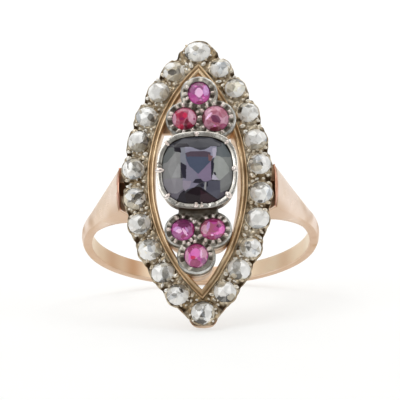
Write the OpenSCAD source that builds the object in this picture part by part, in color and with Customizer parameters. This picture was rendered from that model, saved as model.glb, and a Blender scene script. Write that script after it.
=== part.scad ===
// Antique navette cluster ring: a cushion spinel between two trefoils of rubies,
// inside a pointed-oval border of rose-cut diamonds, on a rose gold hoop.
// Millimetres. The ring lies on its side, on the lower tip of the head and the back of the hoop.
//
// Every piece is drawn upright in the ring's own frame first:
//   x across the finger, y along the finger (up the head), z outwards through the head.
// Module rest() then lays the ring down; the head faces -Y and the base is at Z = 0.

/* [Hoop] */
// inside diameter of the finger hole
finger_d = 17.3; // [16.9:0.1:17.7]
// metal thickness at the back and at the sides of the hoop
hoop_t = 0.82; // [0.75:0.01:0.95]
// width of the hoop along the finger
hoop_w = 1.4; // [1.3:0.05:1.6]
// width of the shoulders at the head
hoop_w_end = 3.5; // [3.2:0.1:3.7]
// small flat between the flat inside and the side of the hoop
hoop_edge = 0.10; // [0.08:0.01:0.15]

/* [Head outline] */
// half length of the pointed oval that the side diamonds sit on
head_l = 11.27; // [11.2:0.01:11.35]
// half width of that oval to the left of its tips
head_wl = 5.19; // [5.1:0.01:5.3]
// half width of that oval to the right of its tips
head_wr = 4.61; // [4.55:0.01:4.7]
// sideways place of the tips
tip_u = 0.34; // [0.3:0.01:0.4]
// place of the middle of the head along the finger
head_v = 0.32; // [0.28:0.01:0.36]
// how far the base of the head reaches past the tips of that oval
tip_reach = 0.43; // [0.4:0.01:0.5]
// how far the base of the head is from the axis of the hoop
head_back = 9.70; // [9.6:0.05:9.8]
// height of the top of the gold base
base_top = 10.35; // [10.3:0.05:10.4]
// height of the top of the silver border
border_top = 10.95; // [10.9:0.05:11.0]

/* [Border] */
// number of diamonds on each side, without the two at the tips
side_stones = 10; // [10]
// reach of the silver outside the line of stones
strip_out = 0.70; // [0.6:0.01:0.75]
// edge of the silver inside the line of stones
strip_in = -1.03; // [-1.05:0.01:-1.02]
// wall of metal round each diamond
collar = 0.09; // [0.07:0.01:0.1]
// radius of the grains between the diamonds
grain_r = 0.17; // [0.12:0.01:0.18]
// inner edge of the gold rim
rim_in = -1.57; // [-1.6:0.01:-1.5]
// gap round each set stone
set_gap = 0.03; // [0.02:0.01:0.04]
// gap between the silver and the gold that carries it
seat_gap = 0.01; // [0.01:0.005:0.02]

/* [Centre] */
// sideways place of the spinel
spinel_u = 0.09; // [0:0.01:0.2]
// place of the spinel along the finger
spinel_v = 0.31; // [0.2:0.01:0.4]
// half width of the spinel at its girdle
spinel_a = 2.70; // [2.6:0.02:2.8]
// half height of the spinel at its girdle
spinel_b = 2.78; // [2.7:0.02:2.84]
// height of the girdle of the spinel
spinel_n = 12.70; // [12.6:0.05:12.8]
// height of the girdles of the rubies
ruby_n = 11.95; // [11.93:0.01:11.98]
// height of the flat undersides of the diamonds
diamond_n = 10.80; // [10.75:0.01:10.85]
// rim of silver round each ruby
plate_rim = 0.48; // [0.42:0.01:0.5]
// wall of the spinel's collet at its top
collet_wall = 0.40; // [0.35:0.01:0.45]

/* [Hidden] */
$fn = 48;
finger_r = finger_d / 2;
hoop_r = finger_r + hoop_t;

// one row for each ruby: name, u, v, half width, half height, turn
RUBIES = [
  ["ruby_top", 0.30, 7.08, 0.86, 0.95, 0],
  ["ruby_upper_left", -0.85, 4.96, 0.96, 0.93, 20],
  ["ruby_upper_right", 1.53, 4.90, 1.03, 1.08, 10],
  ["ruby_lower_left", -1.11, -4.23, 0.90, 0.88, 40],
  ["ruby_lower_right", 1.16, -4.24, 0.96, 0.88, 15],
  ["ruby_bottom", -0.12, -6.38, 0.90, 0.97, 0],
];

// one row for each diamond on a side, from the top: place along the side, where the tips are at
// 0 and 11, shift outwards, half width across the border, half width along it, turn of the facets
LEFT_STONES = [
  [1.25, -0.02, 0.84, 0.88, 5], [2.16, -0.01, 0.86, 0.90, 35], [3.13, -0.02, 0.84, 0.86, 12],
  [4.06, -0.01, 0.80, 0.96, 28], [5.07, 0.06, 0.88, 0.90, 50], [6.13, 0.00, 0.87, 0.92, 8],
  [7.04, 0.01, 0.90, 0.88, 22], [8.01, -0.02, 0.89, 0.90, 41], [8.92, -0.05, 0.90, 0.84, 15],
  [9.84, 0.07, 0.87, 0.86, 33],
];
RIGHT_STONES = [
  [1.11, 0.00, 0.84, 0.80, 18], [2.02, 0.03, 0.84, 0.83, 44], [3.03, 0.07, 0.84, 0.86, 3],
  [4.05, -0.04, 0.89, 0.90, 26], [4.98, -0.06, 0.89, 0.88, 37], [6.03, 0.00, 0.88, 0.90, 11],
  [6.97, -0.02, 0.92, 0.90, 52], [8.06, 0.08, 0.86, 0.86, 20], [8.92, -0.03, 0.92, 0.86, 31],
  [9.84, -0.05, 0.89, 0.88, 9],
];
// name, u, v, half width, half height, turn
TIP_STONES = [
  ["diamond_tip_top", 0.22, 11.12, 1.06, 0.87, 14],
  ["diamond_tip_bottom", 0.30, -10.56, 0.96, 0.93, 30],
];

// Sizes worked out from the ones above.

function arc_r(half) = (head_l * head_l + half * half) / (2 * half);
rl = arc_r(head_wl);
rr = arc_r(head_wr);
// middle of the left arc and of the right arc
cl = tip_u - head_wl + rl;
cr = tip_u + head_wr - rr;
al = asin(head_l / rl);
ar = asin(head_l / rr);

// a place on a side: side -1 left, 1 right, s from 0 at the top tip to 11 at the bottom one, shift
// outwards
function step_angle(side, s) = (side < 0 ? al : ar) * (1 - 2 * s / (side_stones + 1));
function on_arc(side, s, out) = let(a = step_angle(side, s))
  side < 0
  ? [cl - (rl + out) * cos(a), head_v + (rl + out) * sin(a)]
  : [cr + (rr + out) * cos(a), head_v + (rr + out) * sin(a)];
// outward direction at that place, in degrees
function outward(side, s) = side < 0 ? 180 - step_angle(side, s) : step_angle(side, s);
// places on a side between each two stones
function between(rows) = let(s = concat([0.35], [for (r = rows) r[0]], [side_stones + 0.75]))
  [for (i = [0 : side_stones]) (s[i] + s[i + 1]) / 2];

// the shoulder's outer line runs from its lip to the side of the hoop
lip_u = 6.15;
lip_n = 10.45;
// thickness of the lip and height of its lower end
lip_t = 0.17;
lip_back = 9.95;
lip_angle = atan2(lip_u, lip_n);
lip_far = norm([lip_u, lip_n]);
touch_angle = lip_angle + acos(hoop_r / lip_far);
// length of that line
shoulder_l = sqrt(lip_far * lip_far - hoop_r * hoop_r);
// radius of the dome across the band, and across the lip end of the shoulder
dome_r = 1.30;
shoulder_dome_r = 4.6;
// width of the shoulder along its line: part of its length, part of the width at the lip
SHOULDER_W = [
  [-0.06, 0.93 * hoop_w / hoop_w_end], [0, 0.975 * hoop_w / hoop_w_end],
  [0.3, 0.56], [0.6, 0.74], [0.85, 0.92], [1.05, 1.02],
];

// radius of the base round the stones at the tips
tip_round = 1.12;
// rose cut: girdle, height over it, and its very small table as a part of the girdle's width
rose_girdle = 0.14;
rose_height = 0.66;
rose_table = 0.24;

// how the ring lies: heights of the two lowest edges are the same
tip_low = head_v - (head_l + tip_reach);
tip_points = [[tip_low, head_back]];
// how far the dome has fallen at the edge of the band
edge_fall = dome_r - sqrt(dome_r * dome_r - hoop_w * hoop_w / 4);
hoop_points = [[-hoop_w / 2, -hoop_r + edge_fall], [0, -hoop_r]];
function lift(p, t) = p[0] * cos(t) + p[1] * sin(t);
function lowest(ps, t) = min([for (p = ps) lift(p, t)]);
function settle(lo, hi, k) = let(t = (lo + hi) / 2)
  k == 0 ? t
  : lowest(tip_points, t) < lowest(hoop_points, t) ? settle(t, hi, k - 1) : settle(lo, t, k - 1);
tilt = settle(10, 50, 30);
drop = -lowest(tip_points, tilt);
// the furthest points at the back and at the front: the hoop's edge and the bottom stone's table
back_y = hoop_w / 2 * sin(tilt) + (hoop_r - edge_fall) * cos(tilt);
front_stone = TIP_STONES[1];
front_y = (front_stone[2] - rose_table * front_stone[4]) * sin(tilt)
  - (diamond_n + rose_girdle + rose_height) * cos(tilt);

module rest()
  translate([0, -(back_y + front_y) / 2, drop]) rotate([90 - tilt, 0, 0]) children();

// Outlines.

// pointed oval between heights n0 and n1, s0 and s1 outside the line of stones
module lens(s0, s1, n0, n1)
  intersection() {
    translate([cl, head_v, n0]) cylinder(h = n1 - n0, r1 = rl + s0, r2 = rl + s1, $fn = 180);
    translate([cr, head_v, n0]) cylinder(h = n1 - n0, r1 = rr + s0, r2 = rr + s1, $fn = 180);
  }

// trims the sharp tips of the pointed oval
module trim(n0, n1, r0, r1)
  translate([tip_u, head_v, n0]) cylinder(h = n1 - n0, r1 = r0, r2 = r1, $fn = 180);

function turned(p, a) = [p[0] * cos(a) - p[1] * sin(a), p[0] * sin(a) + p[1] * cos(a)];

// squareness of the outline of a stone: round, and as the spinel's
round_p = 2;
square_p = 2.7;

// ring of n points: half sizes a and b, squareness p, first point at angle f
function loop(a, b, p, n, f, t, z) = [for (i = [0 : n - 1])
  let(w = f + i * 360 / n,
      k = pow(pow(abs(cos(w)), p) + pow(abs(sin(w)), p), -1 / p),
      q = turned([a * k * cos(w), b * k * sin(w)], t))
  [q[0], q[1], z]];

function flat(q) = [for (p = q) [p[0], p[1]]];

// Cut stones.
// Points of a cut stone, from the top: table (n), middle ring (n, half a step on),
// top of the girdle (2n), bottom of the girdle (2n), and the point of a deep stone.
// Faces are listed counter-clockwise from outside and turned round at the end.

function table_face(n) = [[for (i = [0 : n - 1]) i]];
function star_faces(n) = [for (i = [0 : n - 1]) let(j = (i + 1) % n)
  each [[i, n + i, j], [n + i, n + j, j]]];
function crown_faces(n) = [for (i = [0 : n - 1]) let(
    g = 2 * n, a = g + 2 * i, b = a + 1, c = g + (2 * i + 2) % (2 * n), j = n + (i + 1) % n)
  each [[n + i, a, b], [n + i, b, c], [n + i, c, j]]];
function girdle_faces(n) = [for (i = [0 : 2 * n - 1]) let(
    j = (i + 1) % (2 * n), g = 2 * n, h = 4 * n)
  each [[h + i, h + j, g + j], [h + i, g + j, g + i]]];
function flat_face(n) = [[for (i = [2 * n - 1 : -1 : 0]) 4 * n + i]];
function point_faces(n) = [for (i = [0 : 2 * n - 1])
  [4 * n + i, 6 * n, 4 * n + (i + 1) % (2 * n)]];
function turned_round(fs) = [for (f = fs) [for (i = [len(f) - 1 : -1 : 0]) f[i]]];

// a, b half sizes; p squareness; n main facets; t turn; tab and mid: sizes of the table and of
// the middle ring as parts of the girdle; hm and ht: their heights over the girdle; g: height
// of the girdle; deep: depth of the point below the girdle, 0 for a flat bottom
module cut_stone(a, b, p, n, t, tab, mid, hm, ht, g, deep) {
  half = 180 / n;
  pts = concat(
    loop(a * tab, b * tab, p, n, half, t, g + ht),
    loop(a * mid, b * mid, p, n, 2 * half, t, g + hm),
    loop(a, b, p, 2 * n, half, t, g),
    loop(a, b, p, 2 * n, half, t, 0),
    deep > 0 ? [[0, 0, -deep]] : []);
  fs = concat(table_face(n), star_faces(n), crown_faces(n), girdle_faces(n),
    deep > 0 ? point_faces(n) : flat_face(n));
  polyhedron(points = pts, faces = turned_round(fs));
}

// the pocket that a stone with the same outline sits in
module pocket(a, b, p, n, t, depth, height)
  translate([0, 0, -depth]) linear_extrude(height = depth + height)
    polygon(flat(loop(a + set_gap, b + set_gap, p, 2 * n, 180 / n, t, 0)));

// rose cut: flat under, domed over
module rose(a, b, t)
  cut_stone(a, b, round_p, 6, t, rose_table, 0.66, 0.44, rose_height, rose_girdle, 0);
// old mixed cut of the rubies
module mixed(a, b, t) cut_stone(a, b, round_p, 8, t, 0.52, 0.78, 0.26, 0.40, 0.10, 0.40);

// Places.

module at_ruby(r) translate([r[1], r[2], ruby_n]) children();
module at_side(side, row) {
  q = on_arc(side, row[0], row[1]);
  translate([q[0], q[1], diamond_n]) rotate([0, 0, outward(side, row[0])]) children();
}
module at_tip(r) translate([r[1], r[2], diamond_n]) children();
module at_spinel() translate([spinel_u, spinel_v, spinel_n]) children();

// Gold.

// band of the hoop: flat inside, domed outside, with small flats along its inner edges
module band_profile() {
  h = hoop_w / 2;
  intersection() {
    translate([hoop_r - dome_r, 0]) circle(r = dome_r, $fn = 64);
    polygon([
      [finger_r, -h + hoop_edge], [finger_r + hoop_edge, -h], [hoop_r + 1, -h],
      [hoop_r + 1, h], [finger_r + hoop_edge, h], [finger_r, h - hoop_edge]]);
  }
}

module band()
  rotate([90, 0, 0]) rotate([0, 0, touch_angle - 270])
    rotate_extrude(angle = 360 - 2 * touch_angle, $fn = 120) band_profile();

// one shoulder, on the right: a straight outer line from the hoop to the lip, domed across,
// widening towards the head. It starts a little inside the end of the band.
shoulder_inset = 0.03;
shoulder_lap = 0.3;
module shoulder() {
  touch = [(hoop_r - shoulder_inset) * sin(touch_angle), (hoop_r - shoulder_inset) * cos(touch_angle)];
  first = [touch[0] + shoulder_lap * cos(touch_angle), touch[1] - shoulder_lap * sin(touch_angle)];
  slope = (shoulder_dome_r - dome_r) / shoulder_l;
  spread = atan(slope);
  start = dome_r / slope;
  difference() {
    intersection() {
      rotate([90, 0, 0]) linear_extrude(height = 6, center = true) polygon([
        [first[0] + 0.4 * sin(touch_angle), first[1] + 0.4 * cos(touch_angle)],
        [lip_u + 0.45, lip_n], [lip_u - lip_t, lip_n], [lip_u - lip_t, lip_back],
        [4.9, lip_back], [4.75, 9.2], [4.3, 6.0],
        [first[0] - 1.5 * sin(touch_angle), first[1] - 1.5 * cos(touch_angle)]]);
      // dome
      translate([touch[0], 0, touch[1]]) rotate([0, touch_angle - 90, 0])
        translate([0, 0, -start]) rotate([0, -spread, 0]) translate([0, 0, 1])
          cylinder(h = 15, r1 = slope, r2 = 16 * slope, $fn = 180);
      // sides
      translate([touch[0], 0, touch[1]]) rotate([0, touch_angle - 90, 0])
        rotate([0, -90, 0]) linear_extrude(height = 20, center = true) polygon(concat(
          [for (q = SHOULDER_W) [q[0] * shoulder_l, q[1] * hoop_w_end / 2]],
          [for (i = [len(SHOULDER_W) - 1 : -1 : 0])
            [SHOULDER_W[i][0] * shoulder_l, -SHOULDER_W[i][1] * hoop_w_end / 2]]));
    }
    // the finger hole
    rotate([90, 0, 0]) cylinder(h = 12, r = finger_r, center = true, $fn = 144);
  }
}

module hoop() {
  band();
  shoulder();
  mirror([1, 0, 0]) shoulder();
}

// pointed-oval base with a sloping inside and a rim of two ridges
base_out = 0.50;
rim_rise = 0.08;
outer_ridge = 0.15;
inner_ridge = 0.17;
groove = 0.14;
wall_slope = 0.10;
rim_top = border_top + rim_rise;
module head_base()
  difference() {
    union() {
      intersection() {
        union() {
          lens(base_out, strip_out - 0.02, head_back, base_top);
          for (r = TIP_STONES) translate([r[1], r[2], head_back])
            cylinder(h = base_top - head_back, r = tip_round);
        }
        translate([-20, tip_low, head_back]) cube([40, 2 * (head_l + tip_reach), base_top - head_back]);
      }
      difference() {
        lens(strip_in, strip_in, base_top - 0.1, rim_top);
        // groove between the two ridges
        difference() {
          lens(strip_in - outer_ridge, strip_in - outer_ridge, rim_top - groove, rim_top + 1);
          lens(rim_in + inner_ridge, rim_in + inner_ridge, rim_top - 2 * groove, rim_top + 2);
        }
      }
    }
    lens(rim_in - wall_slope, rim_in, head_back - 0.01, rim_top + 0.01);
  }

// gold backs of the trefoils and of the spinel's collet
back_inset = 0.22;
culet_hole_r = 1.7;
arm_start = 1.0;
arm_end = 2.95;
arm_w = 0.9;
arm_h = 0.45;
module centre_base() {
  difference() {
    union() {
      for (r = RUBIES)
        translate([r[1], r[2], centre_back]) cylinder(h = plate_back - centre_back,
          r1 = max(r[3], r[4]) + plate_rim - back_inset, r2 = max(r[3], r[4]) + plate_rim - 0.04);
      cushion(centre_back, plate_back, -0.70, -0.02);
      webs(centre_back, plate_back, 2.2);
    }
    // open back under the spinel
    at_spinel() translate([0, 0, -4]) cylinder(h = 6, r = culet_hole_r);
    // open backs under the rubies
    for (r = RUBIES) translate([r[1], r[2], centre_back - 1])
      cylinder(h = plate_back - centre_back + 0.75, r = min(r[3], r[4]) - back_inset);
  }
  // arms to the inside of the base, under the four rubies at the sides
  for (r = [for (i = [1 : 4]) RUBIES[i]]) {
    length = arm_end - abs(r[1]) - arm_start;
    side = sign(r[1]);
    translate([r[1] + side * (arm_start + length / 2), r[2], centre_back + arm_h / 2])
      cube([length, arm_w, arm_h], center = true);
  }
}

// metal between the collet and each trefoil, w wide
module webs(n0, n1, w)
  for (e = [1, -1])
    translate([spinel_u - w / 2, spinel_v + e * 3.0 - 1.1, n0]) cube([w, 2.2, n1 - n0]);

// cushion shape of the spinel between two heights, d0 and d1 outside its girdle
side_r = 7;
corner_r = 3.0;
module cushion(n0, n1, d0, d1)
  translate([spinel_u, spinel_v, n0]) intersection() {
    cylinder(h = n1 - n0, r1 = corner_r + d0, r2 = corner_r + d1, $fn = 90);
    for_side(spinel_a, 0, n1 - n0, d0, d1);
    for_side(spinel_a, 180, n1 - n0, d0, d1);
    for_side(spinel_b, 90, n1 - n0, d0, d1);
    for_side(spinel_b, 270, n1 - n0, d0, d1);
  }
module for_side(half, a, h, d0, d1)
  rotate([0, 0, a]) translate([half - side_r, 0, 0])
    cylinder(h = h, r1 = side_r + d0, r2 = side_r + d1, $fn = 120);

module gold_mount() color([0.80, 0.55, 0.40]) rest() {
  hoop();
  head_base();
  centre_base();
}

// Silver.

// silver strip of the border with a pocket for each diamond and grains between
strip_seat = base_top + seat_gap;
// the grains stand in two rows, this far outside the line of stones
GRAIN_ROWS = [-0.68, 0.50];
module silver_border() color([0.62, 0.58, 0.50]) rest()
  difference() {
    union() {
      intersection() {
        lens(strip_out, strip_out, strip_seat, border_top);
        trim(strip_seat, border_top, head_l + tip_reach, head_l + tip_reach + 0.04);
      }
      for (r = LEFT_STONES) at_side(-1, r) border_collar(r[2], r[3]);
      for (r = RIGHT_STONES) at_side(1, r) border_collar(r[2], r[3]);
      for (r = TIP_STONES) at_tip(r) border_collar(r[3], r[4]);
      for (out = GRAIN_ROWS) {
        for (s = between(LEFT_STONES)) border_grain(-1, s, out);
        for (s = between(RIGHT_STONES)) border_grain(1, s, out);
      }
    }
    // the gold rim stands here
    lens(strip_in + seat_gap, strip_in + seat_gap, base_top - 0.2, border_top + 1);
    for (r = LEFT_STONES) at_side(-1, r) pocket(r[2], r[3], round_p, 6, r[4], set_gap, 2);
    for (r = RIGHT_STONES) at_side(1, r) pocket(r[2], r[3], round_p, 6, r[4], set_gap, 2);
    for (r = TIP_STONES) at_tip(r) pocket(r[3], r[4], round_p, 6, r[5], set_gap, 2);
  }

module border_grain(side, s, out) {
  q = on_arc(side, s, out);
  translate([q[0], q[1], border_top]) sphere(r = grain_r, $fn = 16);
}

module border_collar(a, b)
  translate([0, 0, strip_seat - diamond_n]) linear_extrude(height = border_top - strip_seat)
    polygon(flat(loop(a + collar, b + collar, round_p, 24, 0, 0, 0)));

// silver plates of the trefoils and the spinel's collet with its eight claws
claw_out = 0.22;
claw_r = 0.27;
centre_back = 9.85;
plate_back = 11.5;
plate_seat = plate_back + seat_gap;
plate_top = 12.12;
collet_top = 12.98;
module silver_centre() color([0.60, 0.61, 0.62]) rest()
  difference() {
    union() {
      for (r = RUBIES) {
        translate([r[1], r[2], plate_seat])
          cylinder(h = plate_top - plate_seat, r = max(r[3], r[4]) + plate_rim);
      }
      webs(plate_seat, plate_top - 0.1, 3.0);
      cushion(plate_seat, collet_top, -0.02, collet_wall);
      for (k = [0 : 7]) {
        q = loop(spinel_a + claw_out, spinel_b + claw_out, square_p, 8, 0, 0, 0)[k];
        translate([spinel_u + q[0], spinel_v + q[1], collet_top]) sphere(r = claw_r, $fn = 20);
      }
    }
    for (r = RUBIES) at_ruby(r) {
      pocket(r[3], r[4], round_p, 8, r[5], 0.12, 3);
      translate([0, 0, -0.43]) cylinder(h = 0.35, r1 = 0.20, r2 = min(r[3], r[4]) - 0.08);
    }
    at_spinel() {
      pocket(spinel_a, spinel_b, square_p, 8, 0, 0.30, 3);
      translate([0, 0, -1.3]) cylinder(h = 1.01, r1 = culet_hole_r, r2 = 2.64);
    }
  }

// Stones.

module spinel() color([0.30, 0.25, 0.36]) rest()
  at_spinel() cut_stone(spinel_a, spinel_b, square_p, 8, 0, 0.60, 0.82, 0.42, 0.62, 0.14, 2.0);

module ruby(i) color([0.72, 0.08, 0.28]) rest()
  at_ruby(RUBIES[i]) mixed(RUBIES[i][3], RUBIES[i][4], RUBIES[i][5]);

module side_diamond(side, r) color([0.86, 0.86, 0.84]) rest()
  at_side(side, r) rose(r[2], r[3], r[4]);

module tip_diamond(r) color([0.86, 0.86, 0.84]) rest()
  at_tip(r) rose(r[3], r[4], r[5]);

SIDE_NAMES = [for (i = [1 : side_stones]) i];

gold_mount();
silver_border();
silver_centre();
spinel();
for (i = [0 : len(RUBIES) - 1])
  ruby(i);
for (i = [0 : len(TIP_STONES) - 1])
  tip_diamond(TIP_STONES[i]);
for (i = [0 : side_stones - 1]) {
  side_diamond(-1, LEFT_STONES[i]);
  side_diamond(1, RIGHT_STONES[i]);
}
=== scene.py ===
import math
import random

import bmesh
import bpy
import numpy as np
from mathutils import Matrix, Vector

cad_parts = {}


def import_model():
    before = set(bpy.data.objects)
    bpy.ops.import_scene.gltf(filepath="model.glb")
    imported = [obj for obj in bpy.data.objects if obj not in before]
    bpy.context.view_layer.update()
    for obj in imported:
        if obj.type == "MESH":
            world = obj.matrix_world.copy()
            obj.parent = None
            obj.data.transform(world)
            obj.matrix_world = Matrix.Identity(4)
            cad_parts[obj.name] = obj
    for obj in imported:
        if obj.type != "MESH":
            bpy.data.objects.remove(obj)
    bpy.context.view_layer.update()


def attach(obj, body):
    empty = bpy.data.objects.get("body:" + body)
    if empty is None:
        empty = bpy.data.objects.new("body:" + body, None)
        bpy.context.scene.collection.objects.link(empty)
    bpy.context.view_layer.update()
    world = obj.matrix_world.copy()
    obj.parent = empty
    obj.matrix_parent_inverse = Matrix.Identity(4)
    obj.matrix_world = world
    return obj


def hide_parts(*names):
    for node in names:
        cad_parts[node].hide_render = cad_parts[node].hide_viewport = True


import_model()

# Sizes are millimetres in the ring's own frame: u across the finger, v up the head, n outwards
# through the head. Where the ring lies, that frame is tilted and moved, the same as the solids are;
# the record gives both once more, rounded, as the axis and the place of the finger's bore.
MM = 0.001
TILT = math.radians(29.3851)
SHIFT, DROP = 3.4909, 5.15629

# Sizes, the same as the solids'. First the hoop: its inside and outside radius, its width at the
# back and at the end of the shoulders, and its worn edge.
FINGER_R, HOOP_R = 8.65, 9.47
HOOP_W, HOOP_W_END, HOOP_EDGE = 1.4, 3.5, 0.10
# the straight shoulders: where their lips are, at which angle round the hoop they leave it along
# its tangent, their length, and the radius of their domed outside at the start and at the end
LIP_U, LIP_N = 6.15, 10.45
LIP_ANGLE, LIP_FAR = math.atan2(LIP_U, LIP_N), math.hypot(LIP_U, LIP_N)
TOUCH = LIP_ANGLE + math.acos(HOOP_R / LIP_FAR)
SHOULDER_L = math.sqrt(LIP_FAR ** 2 - HOOP_R ** 2)
DOME_R, SHOULDER_DOME_R = 1.30, 4.6
# part of a shoulder's length, and how wide it is there as a part of HOOP_W_END
SHOULDER_W = [(-1.0, 0.4), (0, 0.4), (0.3, 0.56), (0.6, 0.74), (0.85, 0.92), (1.05, 1.02)]

# the pointed oval that the diamonds sit on: half length, half widths, sideways place of its tips
# and place of its middle up the head, then radius and middle of its left and its right arc
HEAD_L, HEAD_WL, HEAD_WR, TIP_U, HEAD_V = 11.27, 5.19, 4.61, 0.34, 0.32
LEFT_R = (HEAD_L ** 2 + HEAD_WL ** 2) / (2 * HEAD_WL)
RIGHT_R = (HEAD_L ** 2 + HEAD_WR ** 2) / (2 * HEAD_WR)
LEFT_C, RIGHT_C = TIP_U - HEAD_WL + LEFT_R, TIP_U + HEAD_WR - RIGHT_R
# how far from its middle the gold base and the silver end at the tips
TIP_LIMIT, SILVER_LIMIT = HEAD_L + 0.43, HEAD_L + 0.47
# heights of the head's back, the gold base and the silver border
HEAD_BACK, BASE_TOP, BORDER_TOP = 9.70, 10.35, 10.95
# the inside of the silver strip and of the gold rim, both inside the line of the diamonds
STRIP_IN, RIM_IN = -1.03, -1.57
SIDE_STONES = 10
# heights of the stones' seats, and how far over them the stones start
DIAMOND_N, RUBY_N, SPINEL_N, STONE_GAP = 10.80, 11.95, 12.70, 0.01
# heights of the centre's gold backs, the silver plates and the collet
CENTRE_BACK, PLATE_BACK, PLATE_TOP, COLLET_TOP = 9.85, 11.5, 12.12, 12.98
# the spinel's place, its half sizes and how square it is
SPINEL_U, SPINEL_V, SPINEL_A, SPINEL_B, SPINEL_P = 0.09, 0.31, 2.70, 2.78, 2.7
# how far the plates reach round a ruby
PLATE_RIM = 0.48
# the arms: start from a ruby's middle, end from the head's middle line, width and height
ARM_START, ARM_END, ARM_W, ARM_H = 1.0, 2.95, 0.9, 0.45

# name, u, v, half width, half height, turn in degrees
RUBIES = [
    ("ruby_top", 0.30, 7.08, 0.86, 0.95, 0),
    ("ruby_upper_left", -0.85, 4.96, 0.96, 0.93, 20),
    ("ruby_upper_right", 1.53, 4.90, 1.03, 1.08, 10),
    ("ruby_lower_left", -1.11, -4.23, 0.90, 0.88, 40),
    ("ruby_lower_right", 1.16, -4.24, 0.96, 0.88, 15),
    ("ruby_bottom", -0.12, -6.38, 0.90, 0.97, 0),
]
# place along the side, where the tips are at 0 and 11, shift outwards, half width across the
# border, half width along it, turn of the facets
LEFT_STONES = [
    (1.25, -0.02, 0.84, 0.88, 5), (2.16, -0.01, 0.86, 0.90, 35), (3.13, -0.02, 0.84, 0.86, 12),
    (4.06, -0.01, 0.80, 0.96, 28), (5.07, 0.06, 0.88, 0.90, 50), (6.13, 0.00, 0.87, 0.92, 8),
    (7.04, 0.01, 0.90, 0.88, 22), (8.01, -0.02, 0.89, 0.90, 41), (8.92, -0.05, 0.90, 0.84, 15),
    (9.84, 0.07, 0.87, 0.86, 33),
]
RIGHT_STONES = [
    (1.11, 0.00, 0.84, 0.80, 18), (2.02, 0.03, 0.84, 0.83, 44), (3.03, 0.07, 0.84, 0.86, 3),
    (4.05, -0.04, 0.89, 0.90, 26), (4.98, -0.06, 0.89, 0.88, 37), (6.03, 0.00, 0.88, 0.90, 11),
    (6.97, -0.02, 0.92, 0.90, 52), (8.06, 0.08, 0.86, 0.86, 20), (8.92, -0.03, 0.92, 0.86, 31),
    (9.84, -0.05, 0.89, 0.88, 9),
]
# name, u, v, half width, half height, turn
TIP_STONES = [
    ("diamond_tip_top", 0.22, 11.12, 1.06, 0.87, 14),
    ("diamond_tip_bottom", 0.30, -10.56, 0.96, 0.93, 30),
]
# how far the gold base goes round the middles of the tip stones
TIP_ROUND = 1.12

# The camera, fitted to the photograph: the point looked at, its place in the 400 x 400 picture, the
# distance, the size of a millimetre, and the direction looked from.
TARGET, TARGET_PX, PICTURE = (0.0, 0.0, 11.0), (196.97, 183.23), 400.0
DISTANCE, PIXELS_PER_MM = 250.0, 13.04
BELOW_HEAD, SIDEWAYS, ROLL = math.radians(22.5), math.radians(1.17), math.radians(0.97)


def world(p):
    """metres where the ring lies, from millimetres in its own frame"""
    p = np.asarray(p, float)
    u, v, n = p[..., 0], p[..., 1], p[..., 2]
    s, c = math.sin(TILT), math.cos(TILT)
    return np.stack([u, v * s - n * c + SHIFT, v * c + n * s + DROP], -1) * MM


def smooth_step(x, a, b):
    t = np.clip((np.asarray(x, float) - a) / (b - a), 0, 1)
    return t * t * (3 - 2 * t)


def turned(x, y, w):
    """x and y turned by the angle w"""
    c, s = math.cos(w), math.sin(w)
    return x * c - y * s, x * s + y * c


def angle_off(a, b):
    """the angle between the directions a and b"""
    return np.abs(np.mod(a - b + math.pi, 2 * math.pi) - math.pi)


def smooth_round(values, kernel):
    """a closed row of values, each averaged with its neighbours"""
    kernel = np.array(kernel, float)
    k = len(kernel) // 2
    wide = np.concatenate([values[-k:], values, values[:k]])
    return np.convolve(wide, kernel / kernel.sum(), "valid")


def wobble(p, size, seed, waves=7):
    """smooth noise from -1 to 1 with lumps of about that size"""
    rng = np.random.default_rng(seed)
    total = np.zeros(p.shape[:-1])
    for _ in range(waves):
        d = rng.normal(size=3)
        d *= 2 * math.pi / (np.linalg.norm(d) * size * rng.uniform(0.8, 1.8))
        total += np.sin(p @ d + rng.uniform(0, 6.28))
    return total / waves * 1.6


def uneven(p, amount, sizes, seeds):
    """the points moved a little, by a smooth noise of its own along each axis"""
    return p + amount * np.stack([wobble(p, size, seed) for size, seed in zip(sizes, seeds)], -1)


# Mesh helpers.
def loft(loops, wrap=False, caps=(False, False)):
    """points and quads between neighbouring closed loops with the same number of points"""
    loops = [np.asarray(q, float) for q in loops]
    count, n = len(loops), len(loops[0])
    faces = []
    for j in range(count if wrap else count - 1):
        a, b = j * n, (j + 1) % count * n
        faces += [(a + i, a + (i + 1) % n, b + (i + 1) % n, b + i) for i in range(n)]
    if caps[0]:
        faces.append(tuple(range(n))[::-1])
    if caps[1]:
        faces.append(tuple((count - 1) * n + i for i in range(n)))
    return np.concatenate(loops), faces


def merge(parts):
    """several (points, faces, wear) as one"""
    pts, faces, wear_and_shade, at = [], [], [], 0
    for p, f, w in parts:
        pts.append(p)
        faces += [tuple(i + at for i in q) for q in f]
        wear_and_shade.append(np.broadcast_to(np.asarray(w, float), (len(p),)))
        at += len(p)
    return np.concatenate(pts), faces, np.concatenate(wear_and_shade)


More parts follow.
